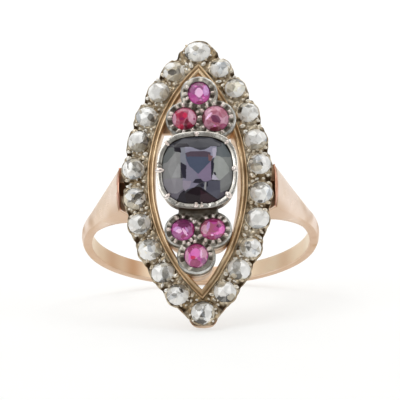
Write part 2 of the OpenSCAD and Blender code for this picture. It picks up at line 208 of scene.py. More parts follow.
def build(name, points, faces, materials, nodes=(), wear_and_shade=None, sharp=35, tones_and_glints=None,
          face_materials=None):
    """a piece of the ring that stands for the given nodes. wear_and_shade has a value for each point, for
    rubbing and painted shade, tones_and_glints a colour for each face, for the stones' colour and painted
    reflections; sharp is the angle from which an edge is hard, and 0 makes facets."""
    mesh = bpy.data.meshes.new(name)
    mesh.from_pydata([tuple(p) for p in world(points)], [], [tuple(int(i) for i in f) for f in faces])
    for m in materials:
        mesh.materials.append(m)
    if face_materials is not None:
        mesh.polygons.foreach_set("material_index", np.asarray(face_materials, "i"))
    if wear_and_shade is not None:
        a = mesh.attributes.new("wear_and_shade", "FLOAT", "POINT")
        a.data.foreach_set("value", np.asarray(wear_and_shade, "f"))
    if tones_and_glints is not None:
        a = mesh.attributes.new("tone_and_glint", "FLOAT_COLOR", "CORNER")
        values = []
        for f, t in zip(faces, tones_and_glints):
            values += [t[0], t[1], t[2], 1.0] * len(f)
        a.data.foreach_set("color", np.asarray(values, "f"))
    bm = bmesh.new()
    bm.from_mesh(mesh)
    bmesh.ops.recalc_face_normals(bm, faces=bm.faces)
    bm.to_mesh(mesh)
    bm.free()
    if sharp:
        mesh.shade_smooth()
        mesh.set_sharp_from_angle(angle=math.radians(sharp))
    else:
        mesh.shade_flat()
    obj = bpy.data.objects.new(name, mesh)
    bpy.context.scene.collection.objects.link(obj)
    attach(obj, "root")
    if nodes:
        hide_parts(*nodes)
    return obj


def bead_shape(rings=6, around=10):
    """points and faces of a unit ball"""
    pts = [(0, 0, 1)]
    for j in range(1, rings):
        t = math.pi * j / rings
        pts += [(math.sin(t) * math.cos(a), math.sin(t) * math.sin(a), math.cos(t))
                for a in (2 * math.pi * i / around for i in range(around))]
    pts.append((0, 0, -1))
    faces = [(0, 1 + i, 1 + (i + 1) % around) for i in range(around)]
    for j in range(rings - 2):
        a, b = 1 + j * around, 1 + (j + 1) * around
        faces += [(a + i, b + i, b + (i + 1) % around, a + (i + 1) % around) for i in range(around)]
    last, a = len(pts) - 1, 1 + (rings - 2) * around
    faces += [(a + (i + 1) % around, a + i, last) for i in range(around)]
    return np.array(pts), faces


BALL, BALL_FACES = bead_shape()


def bead(centre, size, turn, seed, wear_and_shade=0.0, lumps=0.16):
    """a rubbed grain of metal: half sizes along its turn, across it and upwards"""
    p = BALL * (1 + lumps * wobble(BALL, 1.6, seed)[:, None]) * np.array(size)
    return np.stack([*turned(p[:, 0], p[:, 1], turn), p[:, 2]], -1) + np.array(centre), BALL_FACES, wear_and_shade


# Outlines.
def squircle(a, b, p, count, phase=0.0):
    """closed loop with half sizes a and b; p 2 is round, more is squarer"""
    w = phase + np.arange(count) * 2 * math.pi / count
    k = (np.abs(np.cos(w)) ** p + np.abs(np.sin(w)) ** p) ** (-1 / p)
    return np.stack([a * k * np.cos(w), b * k * np.sin(w)], -1)


def level(q, n, u=0.0, v=0.0):
    """the flat loop q moved by u and v and set at the height n"""
    return np.stack([u + q[:, 0], v + q[:, 1], np.broadcast_to(np.asarray(n, float), len(q))], -1)


# points of a loop on each side of the head
PER_SIDE = 430


def lens_loop(out, n, limit=TIP_LIMIT, tip_round=0.0):
    """the pointed oval, `out` outside the line of stones: down the left side from the top tip,
    then up the right side. out and n may be one number or one for each point. tip_round is the
    least distance from the stones at the tips."""
    out = np.broadcast_to(np.asarray(out, float), (2 * PER_SIDE,))
    ra, rb = LEFT_R + out, RIGHT_R + out
    u = (ra * ra - rb * rb - LEFT_C * LEFT_C + RIGHT_C * RIGHT_C) / (2 * (RIGHT_C - LEFT_C))
    h = np.sqrt(ra * ra - (u - LEFT_C) ** 2)
    f = np.arange(PER_SIDE) / PER_SIDE
    left, right = slice(0, PER_SIDE), slice(PER_SIDE, 2 * PER_SIDE)
    x, y = np.empty(2 * PER_SIDE), np.empty(2 * PER_SIDE)
    a = np.arcsin(np.clip(h[left] / ra[left], -1, 1)) * (1 - 2 * f)
    x[left], y[left] = LEFT_C - ra[left] * np.cos(a), ra[left] * np.sin(a)
    b = -np.arcsin(np.clip(h[right] / rb[right], -1, 1)) * (1 - 2 * f)
    x[right], y[right] = RIGHT_C + rb[right] * np.cos(b), rb[right] * np.sin(b)
    for _, tip_u, tip_v, *_ in TIP_STONES:
        dx, dy = x - tip_u, y + HEAD_V - tip_v
        grow = np.maximum(tip_round / np.hypot(dx, dy), 1.0)
        x, y = tip_u + dx * grow, tip_v - HEAD_V + dy * grow
    soft = 0.12
    over = np.maximum(np.abs(y) - (limit - soft), 0)
    y = np.sign(y) * (np.minimum(np.abs(y), limit - soft) + soft * (1 - np.exp(-over / soft)))
    n = np.broadcast_to(np.asarray(n, float), x.shape)
    return np.stack([x, y + HEAD_V, n], -1)


def on_arc(side, s, out):
    """place and outward direction, s steps from the top tip"""
    r, c = (LEFT_R, LEFT_C) if side < 0 else (RIGHT_R, RIGHT_C)
    a = math.asin(HEAD_L / r) * (1 - 2 * s / (SIDE_STONES + 1))
    u, v = c + side * (r + out) * math.cos(a), HEAD_V + (r + out) * math.sin(a)
    return u, v, a if side > 0 else math.pi - a


def between(rows):
    """the places on a side between each two stones"""
    s = [0.35] + [r[0] for r in rows] + [SIDE_STONES + 0.75]
    return [(a + b) / 2 for a, b in zip(s, s[1:])]


SIDES = ((-1, "left", LEFT_STONES), (1, "right", RIGHT_STONES))
# one row for each diamond: name, u, v, outward direction, half size across and along, turn
DIAMONDS = []
for side, word, rows in SIDES:
    for i, (s, shift, across, along, turn) in enumerate(rows):
        u, v, a = on_arc(side, s, shift)
        DIAMONDS.append((f"diamond_{word}_{i + 1}", u, v, a, across, along, turn))
for name, u, v, half_width, half_height, turn in TIP_STONES:
    DIAMONDS.append((name, u, v, math.pi / 2, half_height, half_width, turn))


def from_gap(p):
    """how far round the side each point is from the nearest place between two stones; the first
    half of the points is on the left side"""
    away = np.full(len(p), 9.0)
    half = len(p) // 2
    for (side, _, rows), part in zip(SIDES, (slice(0, half), slice(half, None))):
        r, c = (LEFT_R, LEFT_C) if side < 0 else (RIGHT_R, RIGHT_C)
        a = np.arcsin((p[part, 1] - HEAD_V) / np.hypot(p[part, 0] - c, p[part, 1] - HEAD_V))
        s = (1 - a / math.asin(HEAD_L / r)) * (SIDE_STONES + 1) / 2
        for q in between(rows):
            away[part] = np.minimum(away[part], np.abs(s - q))
    return away


def stone_distance(p, stones):
    """distance outside the nearest stone's edge, in mm, and which stone it is"""
    best, which = np.full(p.shape[:-1], 99.0), np.zeros(p.shape[:-1], int)
    for k, (u, v, a, across, along) in enumerate(stones):
        x, y = turned(p[..., 0] - u, p[..., 1] - v, -a)
        e = np.sqrt((x / across) ** 2 + (y / along) ** 2)
        d = (e - 1) * (across + along) / 2
        near = d < best
        best, which = np.where(near, d, best), np.where(near, k, which)
    return best, which


# Materials.
def rgb(r, g, b):
    """a colour given by its 0-255 screen values"""
    def line(c):
        c /= 255
        return c / 12.92 if c <= 0.04045 else ((c + 0.055) / 1.055) ** 2.4
    return line(r), line(g), line(b), 1.0


class Maker:
    """a material and the nodes that are added to it"""

    def __init__(self, name):
        self.material = bpy.data.materials.new(name)
        self.material.use_nodes = True
        self.tree = self.material.node_tree
        self.shader = self.tree.nodes["Principled BSDF"]
        self.coord = self.node("ShaderNodeTexCoord").outputs["Object"]

    def node(self, kind, **values):
        made = self.tree.nodes.new(kind)
        for key, value in values.items():
            setattr(made, key, value)
        return made

    def link(self, a, b):
        self.tree.links.new(a, b)

    def noise(self, scale, detail=3.0, rough=0.6, squash=(1, 1, 1)):
        mapping = self.node("ShaderNodeMapping")
        mapping.inputs["Scale"].default_value = squash
        self.link(self.coord, mapping.inputs["Vector"])
        made = self.node("ShaderNodeTexNoise")
        made.inputs["Scale"].default_value = scale
        made.inputs["Detail"].default_value = detail
        made.inputs["Roughness"].default_value = rough
        self.link(mapping.outputs["Vector"], made.inputs["Vector"])
        return made.outputs["Fac"]

    def spread(self, value, low, high, to_low=0.0, to_high=1.0):
        made = self.node("ShaderNodeMapRange")
        made.inputs["From Min"].default_value = low
        made.inputs["From Max"].default_value = high
        made.inputs["To Min"].default_value = to_low
        made.inputs["To Max"].default_value = to_high
        self.link(value, made.inputs["Value"])
        return made.outputs["Result"]

    def mix(self, factor, a, b, blend="MIX"):
        made = self.node("ShaderNodeMix", data_type="RGBA", blend_type=blend)
        for value, key in ((factor, 0), (a, 6), (b, 7)):
            if isinstance(value, (int, float, tuple)):
                made.inputs[key].default_value = value
            else:
                self.link(value, made.inputs[key])
        return made.outputs[2]

    def attribute(self, name):
        return self.node("ShaderNodeAttribute", attribute_name=name)

    def bump(self, height, strength, distance):
        made = self.node("ShaderNodeBump")
        made.inputs["Strength"].default_value = strength
        made.inputs["Distance"].default_value = distance
        self.link(height, made.inputs["Height"])
        self.link(made.outputs["Normal"], self.shader.inputs["Normal"])


# how much rougher full wear makes a metal, and how deep its scratches are in metres
WEAR_ROUGH, SCRATCH = 0.35, 0.00002


def metal(name, light, dark, crevice_and_shade, rough, patch=350.0, bump=0.25, metallic=1.0):
    """rubbed metal: patches of two tones, a dark tone where wear_and_shade is high, which is tarnish in
    hollows and, on the hoop and the trefoils, also painted shade and painted reflections; fine scratches
    """
    m = Maker(name)
    m.shader.inputs["Metallic"].default_value = metallic
    patches = m.spread(m.noise(patch, 4.0), 0.38, 0.62)
    fine = m.noise(patch * 9, 3.0, 0.7)
    wear_and_shade_factor = m.attribute("wear_and_shade").outputs["Fac"]
    colour = m.mix(patches, light, dark)
    colour = m.mix(wear_and_shade_factor, colour, crevice_and_shade)
    m.link(colour, m.shader.inputs["Base Color"])
    rough_a = m.spread(fine, 0.3, 0.7, rough[0], rough[1])
    total = m.node("ShaderNodeMath", operation="MULTIPLY_ADD", use_clamp=True)
    total.inputs[1].default_value = WEAR_ROUGH
    m.link(wear_and_shade_factor, total.inputs[0])
    m.link(rough_a, total.inputs[2])
    m.link(total.outputs[0], m.shader.inputs["Roughness"])
    m.bump(fine, bump, SCRATCH)
    return m.material


def gem(name, metallic, rough, ior, shine, cloud=0.25, depth=(0.75, 1.1)):
    """cut stone: each facet has its own colour, which is the stone's colour with painted reflections, with
    faint clouds and a hard polish
    """
    m = Maker(name)
    tone_and_glint = m.attribute("tone_and_glint").outputs["Color"]
    clouds = m.spread(m.noise(1500, 3.0), 0.35, 0.65, depth[0], depth[1])
    grey = m.node("ShaderNodeCombineColor")
    for k in range(3):
        m.link(clouds, grey.inputs[k])
    colour = m.mix(cloud, tone_and_glint, m.mix(1.0, tone_and_glint, grey.outputs[0], "MULTIPLY"))
    m.link(colour, m.shader.inputs["Base Color"])
    m.link(m.spread(m.noise(2600, 2.0), 0.3, 0.7, rough * 0.6, rough * 1.5), m.shader.inputs["Roughness"])
    m.shader.inputs["Metallic"].default_value = metallic
    m.shader.inputs["IOR"].default_value = ior
    m.shader.inputs["Specular IOR Level"].default_value = shine
    return m.material


# the hoop's gold: its dark tone serves for the browner bends and back, and as painted shade on the lower side
# at the bends and on the lower half of the shoulders
ROSE_GOLD = metal("rose_gold_hoop", rgb(238, 217, 201), rgb(228, 202, 176), rgb(202, 166, 128),
                  (0.24, 0.38), 150, 0.10)
# the inside of the hoop: its gold painted brighter and yellower, in large patches, as painted reflections
# inside the ring
INSIDE_GOLD_REFLECTIONS = metal("rose_gold_inside_reflections", rgb(255, 243, 216), rgb(255, 228, 196), rgb(206, 156, 114),
                   (0.30, 0.36), 110, 0.0, 0.30)
# the lips: copper at the top, and a dark tone that is painted shadow below it
LIP_GOLD = metal("rose_gold_lip", rgb(226, 176, 152), rgb(200, 146, 122), rgb(104, 72, 50),
                 (0.26, 0.40), 400, 0.2)
BASE_GOLD = metal("rose_gold_base", rgb(226, 200, 172), rgb(204, 172, 142), rgb(112, 76, 52),
                  (0.26, 0.42), 420, 0.25)
RIM_GOLD = metal("rim_gold", rgb(246, 220, 182), rgb(208, 176, 136), rgb(122, 96, 66),
                 (0.24, 0.40), 600, 0.3)
BORDER_METAL = metal("border_metal", rgb(248, 234, 208), rgb(178, 154, 118), rgb(74, 56, 36),
                     (0.24, 0.42), 900, 0.4)
GRAIN_METAL = metal("grain_metal", rgb(255, 253, 246), rgb(226, 210, 182), rgb(124, 100, 72),
                    (0.24, 0.40), 1100, 0.3)
SILVER = metal("bright_silver", rgb(248, 246, 238), rgb(200, 194, 184), rgb(84, 70, 56),
               (0.20, 0.36), 420, 0.3)
PLATE_SILVER = metal("plate_silver", rgb(214, 214, 210), rgb(160, 158, 152), rgb(70, 66, 58),
                     (0.22, 0.36), 600, 0.3)
CLAW_METAL = metal("claw_metal", rgb(255, 246, 240), rgb(236, 220, 210), rgb(120, 100, 90),
                   (0.30, 0.44), 900, 0.3)
DARK_SILVER = metal("dark_silver", rgb(206, 200, 188), rgb(158, 151, 139), rgb(80, 70, 61),
                    (0.26, 0.42), 900, 0.4)
DIAMOND = gem("diamond_facets", 0.08, 0.08, 2.0, 0.4)
RUBY = gem("ruby_facets", 0.0, 0.10, 1.77, 0.35)
SPINEL = gem("spinel_facets", 0.0, 0.05, 1.72, 0.12)


# Hoop.
# points across the inside of the band, and the height from which the shoulders' ends are a lip
INNER_POINTS, LIP_END = 9, 9.93
# the point of a cross-section from which the lower side starts
LOW_SIDE = 34
# painted reflections, brown and pale, on the inside at the back: place across the finger, breadth,
# change of the dark tone's share
BAND_REFLECTIONS = [(-6.5, 3.0, -0.1), (-7.3, 0.5, 0.3), (-5.7, 0.6, 0.45), (-4.4, 0.6, -0.3),
                (5.5, 3.5, -0.6), (6.6, 0.6, 0.4)]
# the lip at the shoulder's end and the foot behind it: u, n, share of the shoulder's width
LIP_SECTION = [(6.10, 10.50, 1), (6.02, 10.50, 1), (5.97, 10.44, 1), (5.96, 10.2, 1), (5.96, 9.99, 0.995),
               (5.90, 9.95, 0.995), (5.4, 9.95, 0.995), (4.95, 9.95, 0.995)]


def hoop_half():
    """stations from the back of the hoop to the end of the right shoulder: inner point and
    outer point in (u, n), half width, dome radius"""
    rows = []
    for phi in np.linspace(math.pi, TOUCH, 90, endpoint=False):
        d = np.array([math.sin(phi), math.cos(phi)])
        rows.append((d * FINGER_R, d * HOOP_R, HOOP_W / 2, DOME_R))
    for phi in np.linspace(TOUCH, LIP_ANGLE, 46):
        d = np.array([math.sin(phi), math.cos(phi)])
        # the outside leaves the hoop along its tangent
        s = HOOP_R * math.tan(TOUCH - phi) / SHOULDER_L
        dome = DOME_R + (SHOULDER_DOME_R - DOME_R) * s
        half = np.interp(s, *zip(*SHOULDER_W)) * HOOP_W_END / 2
        rows.append((d * FINGER_R, d * (HOOP_R / math.cos(TOUCH - phi)), half, dome))
    for k, (u, n, narrowing) in enumerate(LIP_SECTION):
        phi = LIP_ANGLE - 0.004 * (k + 1)
        d = np.array([math.sin(phi), math.cos(phi)])
        rows.append((d * FINGER_R, np.array([u, n]), half * narrowing, dome * 2))
    return rows


def cross_section(inner, outer, half, dome):
    """closed loop across the band: flat inside, small flats at its edges, domed outside"""
    thick = np.linalg.norm(outer - inner)
    edge = HOOP_EDGE / thick
    fall = dome - math.sqrt(max(dome * dome - half * half, 0.01))
    top = 1 - min(fall / thick, 0.6)
    pts = []
    for k in np.linspace(-1, 1, INNER_POINTS):
        pts.append((k * (half - HOOP_EDGE), 0.0))
    pts += [(half - HOOP_EDGE * 0.35, edge * 0.30), (half, edge), (half + 0.012, (edge + top) / 2)]
    pts.append((half, top - 0.04))
    for k in np.linspace(1, -1, 23):
        y = k * (half - 0.03)
        drop = (dome - math.sqrt(max(dome * dome - y * y, 0.01))) / thick
        pts.append((y, 1 - min(drop, 0.6)))
    pts += [(-half, top - 0.04), (-half - 0.012, (edge + top) / 2), (-half, edge),
            (-half + HOOP_EDGE * 0.35, edge * 0.30)]
    return [(inner + (outer - inner) * t, v) for v, t in pts]


def make_hoop():
    right = hoop_half()
    loops = []
    for sign, rows in ((-1, right[::-1]), (1, right[1:])):
        for inner, outer, half, dome in rows:
            loops.append([(sign * q[0], v, q[1]) for q, v in cross_section(inner, outer, half, dome)])
    pts, faces = loft(loops, caps=(True, True))
    # unevenness of about a hundredth of a millimetre; the inside still leaves room for the finger
    pts = uneven(pts, 0.006, (3.0, 3.5, 3.0), (3, 4, 5))
    r = np.hypot(pts[:, 0], pts[:, 2])
    inside = r < FINGER_R + 0.05
    pts[:, ::2] *= np.where(inside, np.maximum(r + 0.010, FINGER_R) / r, 1.0)[:, None]
    # the bends and the back are browner; painted shade makes the lower side at the bends and the lower
    # half of the shoulders browner, and painted shadow makes the lips dark below
    u, n = np.abs(pts[:, 0]), pts[:, 2]
    wear_and_shade = smooth_step(u, 7.4, 9.2) * (0.30 + 0.55 * wobble(pts, 1.3, 6))
    wear_and_shade = np.maximum(wear_and_shade, 0.5 * smooth_step(-n, -1.0, 3.0))
    per_loop = len(loops[0])
    # painted shade along the band's lower side at the bends
    shaded_low_side = np.arange(len(pts)) % per_loop >= LOW_SIDE
    wear_and_shade = np.maximum(wear_and_shade, 0.55 * shaded_low_side * smooth_step(u, 7.2, 8.6) * smooth_step(n, -5.0, -2.0))
    # painted shade on the lower half of each shoulder
    wear_and_shade = np.maximum(wear_and_shade, 0.5 * smooth_step(u, 8.2, 6.6) * smooth_step(-pts[:, 1], 0.5, 1.6) * (n > 6))
    # painted reflections inside the back of the band, brown where the dark tone's share rises and pale where
    # it falls
    for middle, breadth, change in BAND_REFLECTIONS:
        wear_and_shade = wear_and_shade + change * np.exp(-((pts[:, 0] - middle) / breadth) ** 2) * (inside & (n < 0))
    wear_and_shade = np.clip(wear_and_shade, 0, 1)
    # painted shadow: each lip is dark below its top, in the gap beside the border
    at_lip = (u < LIP_U + 0.08) & (n > LIP_END)
    wear_and_shade = np.where(at_lip, smooth_step(-n, -LIP_N + 0.22, -LIP_N + 0.40), wear_and_shade)
    kinds = []
    for face in faces:
        on_lip = all(at_lip[i] for i in face)
        on_inside = all(i % per_loop < INNER_POINTS for i in face)
        kinds.append(2 if on_lip else 1 if on_inside else 0)
    build("hoop", pts, faces, [ROSE_GOLD, INSIDE_GOLD_REFLECTIONS, LIP_GOLD], ["gold_mount"], wear_and_shade=wear_and_shade,
          sharp=50, face_materials=kinds)


# Gold base and rim of the border.
# outside the line of stones, n, whether it swells at the tips, wear
BASE_SECTION = [
    (-0.60, HEAD_BACK, 0, 0.3), (0.34, HEAD_BACK, 1, 0.2), (0.46, 9.73, 1, 0.0), (0.55, 9.85, 1, 0.0),
    (0.60, 10.10, 1, 0.1), (0.66, 10.28, 1, 0.2), (0.62, BASE_TOP, 1, 0.6), (0.40, 10.36, 1, 0.9),
    (-0.90, 10.36, 0, 0.9), (STRIP_IN, 10.42, 0, 0.9), (STRIP_IN, 10.70, 0, 0.9),
]
RIM_SECTION = [
    (STRIP_IN, 10.93, 0, 0.7), (-1.055, 11.00, 0, 0.1), (-1.10, 11.035, 0, 0.0), (-1.15, 11.02, 0, 0.0),
    (-1.185, 10.96, 0, 0.3), (-1.21, 10.92, 0, 0.7), (-1.27, 10.91, 0, 0.6), (-1.31, 10.95, 0, 0.3),
    (-1.36, 11.01, 0, 0.1), (-1.43, 11.04, 0, 0.0), (-1.51, 11.035, 0, 0.0), (-1.56, 10.99, 0, 0.2),
    (-1.585, 10.90, 0, 0.5), (-1.62, 10.76, 0, 0.3),
]
# how far out the base's largest outline is
TIP_BASE = 0.66
# the wall's slope on the right side, downwards from this height
RIGHT_SLOPE, WALL_TOP = 0.22, 10.76
WALL_SECTION = [
    (-1.61, 10.50, 0, 0.0), (-1.64, 10.15, 0, 0.0), (-1.66, 9.84, 0, 0.0), (-1.65, 9.74, 0, 0.2),
    (-1.60, HEAD_BACK, 0, 0.4), (-1.2, HEAD_BACK, 0, 0.3),
]


def make_base():
    loops, wear_and_shade = [], []
    rows = BASE_SECTION + RIM_SECTION + WALL_SECTION
    along = np.sin(math.pi * np.arange(PER_SIDE) / PER_SIDE)
    right_side = np.concatenate([np.zeros(PER_SIDE), along])
    for k, (out, n, swells, w) in enumerate(rows):
        if k >= len(rows) - len(WALL_SECTION) and out < RIM_IN:
            out = out - RIGHT_SLOPE * right_side * (WALL_TOP - n)
        q = lens_loop(out, n, tip_round=(TIP_ROUND + out - TIP_BASE) if swells else 0.0)
        loops.append(q)
        wear_and_shade.append(np.full(len(q), w))
    pts, faces = loft(loops, wrap=True)
    pts = uneven(pts, 0.010, (1.6, 1.6, 1.2), (11, 12, 13))
    wear_and_shade = np.clip(np.concatenate(wear_and_shade) + 0.25 * wobble(pts, 1.1, 14) - 0.05, 0, 1)
    per_row = 2 * PER_SIDE
    first, last = len(BASE_SECTION) - 1, len(BASE_SECTION) + len(RIM_SECTION)
    kinds = [1 if first <= i // per_row < last else 0 for i in range(len(faces))]
    build("head_base", pts, faces, [BASE_GOLD, RIM_GOLD], ["gold_mount"], wear_and_shade=wear_and_shade,
          sharp=60, face_materials=kinds)


# Silver border.
BORDER_HOLES = [row[1:6] for row in DIAMONDS]
# floor of the pockets and height of the strip over it, then depths: of the hollows between the
# stones, of the fall at the edge and of the cuts between each two stones
POCKET_N, STRIP_H, HOLLOW, EDGE_FALL, CUT_DEPTH = 10.62, 0.36, 0.14, 0.12, 0.34
# the strip's outer wall: below its edge, outside it, wear
STRIP_WALL = [(0.12, 0.03, 0.45), (0.28, 0.02, 0.30), (0.44, -0.03, 0.55), (0.50, -0.08, 0.9)]


def border_height(p, out, edge):
    """height and wear of the border's top: pockets, thin walls round the stones, hollows between"""
    d, _ = stone_distance(p, BORDER_HOLES)
    lump = wobble(p, 0.45, 21)
    h = POCKET_N + STRIP_H * smooth_step(d, -0.10, -0.04)
    h += (0.02 + 0.07 * lump) * smooth_step(d, 0.04, 0.16)
    h -= HOLLOW * smooth_step(d, 0.05, 0.13) * (0.6 + 0.4 * wobble(p, 0.28, 22))
    h -= EDGE_FALL * smooth_step(out, edge - 0.18, edge)
    # a cut runs in from the outer edge between each pair of stones
    cut = (1 - smooth_step(from_gap(p), 0.03, 0.15)) * smooth_step(out, 0.16, 0.56)
    h -= CUT_DEPTH * cut
    near = smooth_step(d, 0.01, 0.05) * (1 - smooth_step(d, 0.10, 0.18))
    wear_and_shade = 0.44 * smooth_step(d, 0.02, 0.09) + 0.6 * near * smooth_step(wobble(p, 0.40, 24), -0.1, 0.6)
    wear_and_shade += 0.9 * cut + 0.40 * lump + 0.25 * wobble(p, 0.3, 23)
    wear_and_shade += 0.8 * (1 - smooth_step(d, -0.03, 0.02))
    return h, np.clip(wear_and_shade, 0, 1)


def border_edge():
    """how far the silver reaches outside the line of stones, at each place round the border"""
    gap = from_gap(lens_loop(0.7, 0, limit=99))
    # the least reach is smaller at the cuts between the stones and towards the tips
    least = 0.80 - 0.16 * (1 - smooth_step(gap, 0.03, 0.14))
    up = np.abs(lens_loop(0.7, 0, limit=99)[:, 1] - HEAD_V)
    least -= 0.10 * smooth_step(up, HEAD_L - 1.6, HEAD_L - 0.7)
    edge = least.copy()
    for out in np.arange(0.60, 1.25, 0.02):
        q = lens_loop(out, 0, limit=99)
        d, _ = stone_distance(q, BORDER_HOLES)
        edge = np.where(d < 0.06, np.maximum(out, least), edge)
    return smooth_round(edge, (1, 2, 3, 4, 3, 2, 1))


def make_border():
    edge = border_edge()
    inner, foot, across = STRIP_IN + 0.015, BASE_TOP + 0.02, 30
    loops = [lens_loop(inner, foot)]
    wear_and_shade = [np.ones(2 * PER_SIDE)]
    for k in range(across + 1):
        out = inner + (edge - inner) * k / across
        q = lens_loop(out, 0, limit=SILVER_LIMIT)
        q[:, 2], w = border_height(q, out, edge)
        loops.append(q)
        wear_and_shade.append(w)
    top = loops[-1][:, 2]
    for drop, grow, w in STRIP_WALL:
        q = lens_loop(edge + grow, np.maximum(top - drop, foot), limit=SILVER_LIMIT + grow)
        q[:, :2] += 0.02 * wobble(q, 0.5, 31)[:, None]
        loops.append(q)
        wear_and_shade.append(np.clip(w + 0.3 * wobble(q, 0.45, 32), 0, 1))
    pts, faces = loft(loops, wrap=True)
    build("border_plate", pts, faces, [BORDER_METAL], ["silver_border"],
          wear_and_shade=np.concatenate(wear_and_shade), sharp=50)


# beads between each two stones: outside the line of stones, size, step along the side
BORDER_BEADS = [(-0.74, 0.19, -0.10), (-0.66, 0.14, 0.13), (-0.36, 0.13, 0.0), (0.16, 0.12, 0.02),
                (0.46, 0.17, 0.12), (0.52, 0.16, -0.12)]
# directions of the small grains round each stone in degrees, where 0 is its outer side
EDGE_GRAINS = (62, 105, 140, 220, 255, 298)


def make_border_grains():
    rng = random.Random(5)
    parts = []
    for side, _, rows in SIDES:
        for k, place in enumerate(between(rows)):
            for out, size, aside in BORDER_BEADS:
                if out > 0.3 and k in (0, len(rows)):
                    continue
                s = place + aside + rng.uniform(-0.04, 0.04)
                u, v, a = on_arc(side, s, out + rng.uniform(-0.05, 0.05))
                r = size * rng.uniform(0.8, 1.2)
                parts.append(bead((u, v, BORDER_TOP + rng.uniform(-0.07, 0.01)),
                                  (r * rng.uniform(1.0, 1.5), r * rng.uniform(0.75, 1.0), r * 0.8),
                                  a + rng.uniform(-0.6, 0.6), rng.randrange(999), rng.uniform(0, 0.2)))
    # small ones push over the edge of each stone, none at its outer side
    for _, u, v, a, across, along, _ in DIAMONDS:
        for w in EDGE_GRAINS:
            w = math.radians(w + rng.uniform(-12, 12))
            x, y = turned((across + 0.02) * math.cos(w), (along + 0.02) * math.sin(w), a)
            r = rng.uniform(0.07, 0.11)
            parts.append(bead((u + x, v + y, BORDER_TOP - 0.02), (r * 1.3, r, r), w + a,
                              rng.randrange(999), rng.uniform(0.0, 0.35)))
    pts, faces, wear_and_shade = merge(parts)
    build("border_grains", pts, faces, [GRAIN_METAL], ["silver_border"], wear_and_shade=wear_and_shade, sharp=180)


# Trefoils.
TREFOIL_SETS = {"trefoil_top": RUBIES[:3], "trefoil_bottom": RUBIES[3:]}
# grains round each ruby, how far they are outside it, and their size
GRAINS, GRAIN_OUT, GRAIN_SIZE = 12, 0.17, 0.14
# rubies with a plain rim on one side: its direction and half its breadth in degrees
PLAIN_RIMS = {"ruby_top": (90, 58), "ruby_bottom": (270, 62)}


def on_plain_rim(name, w):
    """whether the direction w from the ruby's middle is on its plain rim"""
    if name not in PLAIN_RIMS:
        return np.zeros(np.shape(w), bool)
    direction, breadth = (math.radians(x) for x in PLAIN_RIMS[name])
    return angle_off(w, direction) < breadth


def grain_angles():
    """where the grains round each ruby stand, by its name"""
    rng = random.Random(17)
    return {r[0]: [2 * math.pi * (j + rng.uniform(-0.22, 0.22)) / GRAINS for j in range(GRAINS)]
            for r in RUBIES}


GRAIN_ANGLES = grain_angles()
# height of the plates in the rubies' pockets, and depth of the cuts between the grains
PLATE_POCKET, GRAIN_CUT = 11.86, 0.12
# the disc of the neck towards the spinel: how far from the spinel's middle, and its radius
NECK_AWAY, NECK_R = 3.1, 1.5


def trefoil_outline(rows, count):
    """middle and reach in each direction of three joined discs with a neck towards the spinel"""
    mid = np.mean([[r[1], r[2]] for r in rows], axis=0)
    sign = 1 if mid[1] > SPINEL_V else -1
    discs = [(r[1], r[2], max(r[3], r[4]) + PLATE_RIM) for r in rows]
    discs.append((SPINEL_U, SPINEL_V + sign * NECK_AWAY, NECK_R))
    w = np.arange(count) * 2 * math.pi / count
    best = np.zeros(count)
    for u, v, r in discs:
        dx, dy = u - mid[0], v - mid[1]
        along = dx * np.cos(w) + dy * np.sin(w)
        off = dx * np.sin(w) - dy * np.cos(w)
        inside = r * r - off * off
        best = np.where(inside > 0, np.maximum(best, along + np.sqrt(np.maximum(inside, 0))), best)
    return mid, w, smooth_round(best, (1, 2, 3, 2, 1))


def trefoil_height(p, rows):
    """height and wear_and_shade of a trefoil's top: pockets, dark cuts between the grains, painted shade on
    the neck next to the collet
    """
    holes = [(r[1], r[2], 0.0, r[3] + 0.03, r[4] + 0.03) for r in rows]
    d, which = stone_distance(p, holes)
    centre = np.array([[r[1], r[2]] for r in rows])[which]
    w = np.arctan2(p[..., 1] - centre[..., 1], p[..., 0] - centre[..., 0])
    away = np.full(w.shape, 9.0)
    plain = np.zeros(w.shape, bool)
    for k, r in enumerate(rows):
        plain |= (which == k) & on_plain_rim(r[0], w)
        for q in GRAIN_ANGLES[r[0]]:
            away = np.where(which == k, np.minimum(away, angle_off(w, q)), away)
    h = PLATE_POCKET + (PLATE_TOP - PLATE_POCKET) * smooth_step(d, -0.05, 0.0)
    band = smooth_step(d, 0.0, 0.06) * (1 - smooth_step(d, 0.26, 0.44))
    cut = band * smooth_step(away, 0.10, 0.20) * ~plain
    h -= GRAIN_CUT * cut
    h -= 0.05 * smooth_step(d, 0.30, 0.46)
    h += 0.03 * wobble(p, 0.5, 41)
    rim = 1 - smooth_step(d, -0.02, 0.03)
    from_spinel = np.hypot(p[..., 0] - SPINEL_U, p[..., 1] - SPINEL_V)
    # painted shade on the neck, next to the collet
    neck = smooth_step(-from_spinel, -4.3, -3.7) * smooth_step(d, 0.22, 0.45)
    return h, np.clip(0.85 * cut + 0.25 * rim + 0.25 * wobble(p, 0.6, 42) + 0.35 * neck, 0, 1)


# the ring of the plate's mesh from which its silver is brighter
RIM_RING = 60
# the plate's edge: n, how far it is outside the outline, wear
PLATE_EDGE = [(11.98, 0.02, 0.1), (11.80, 0.03, 0.3), (11.60, 0.02, 0.55), (11.52, -0.02, 0.9)]


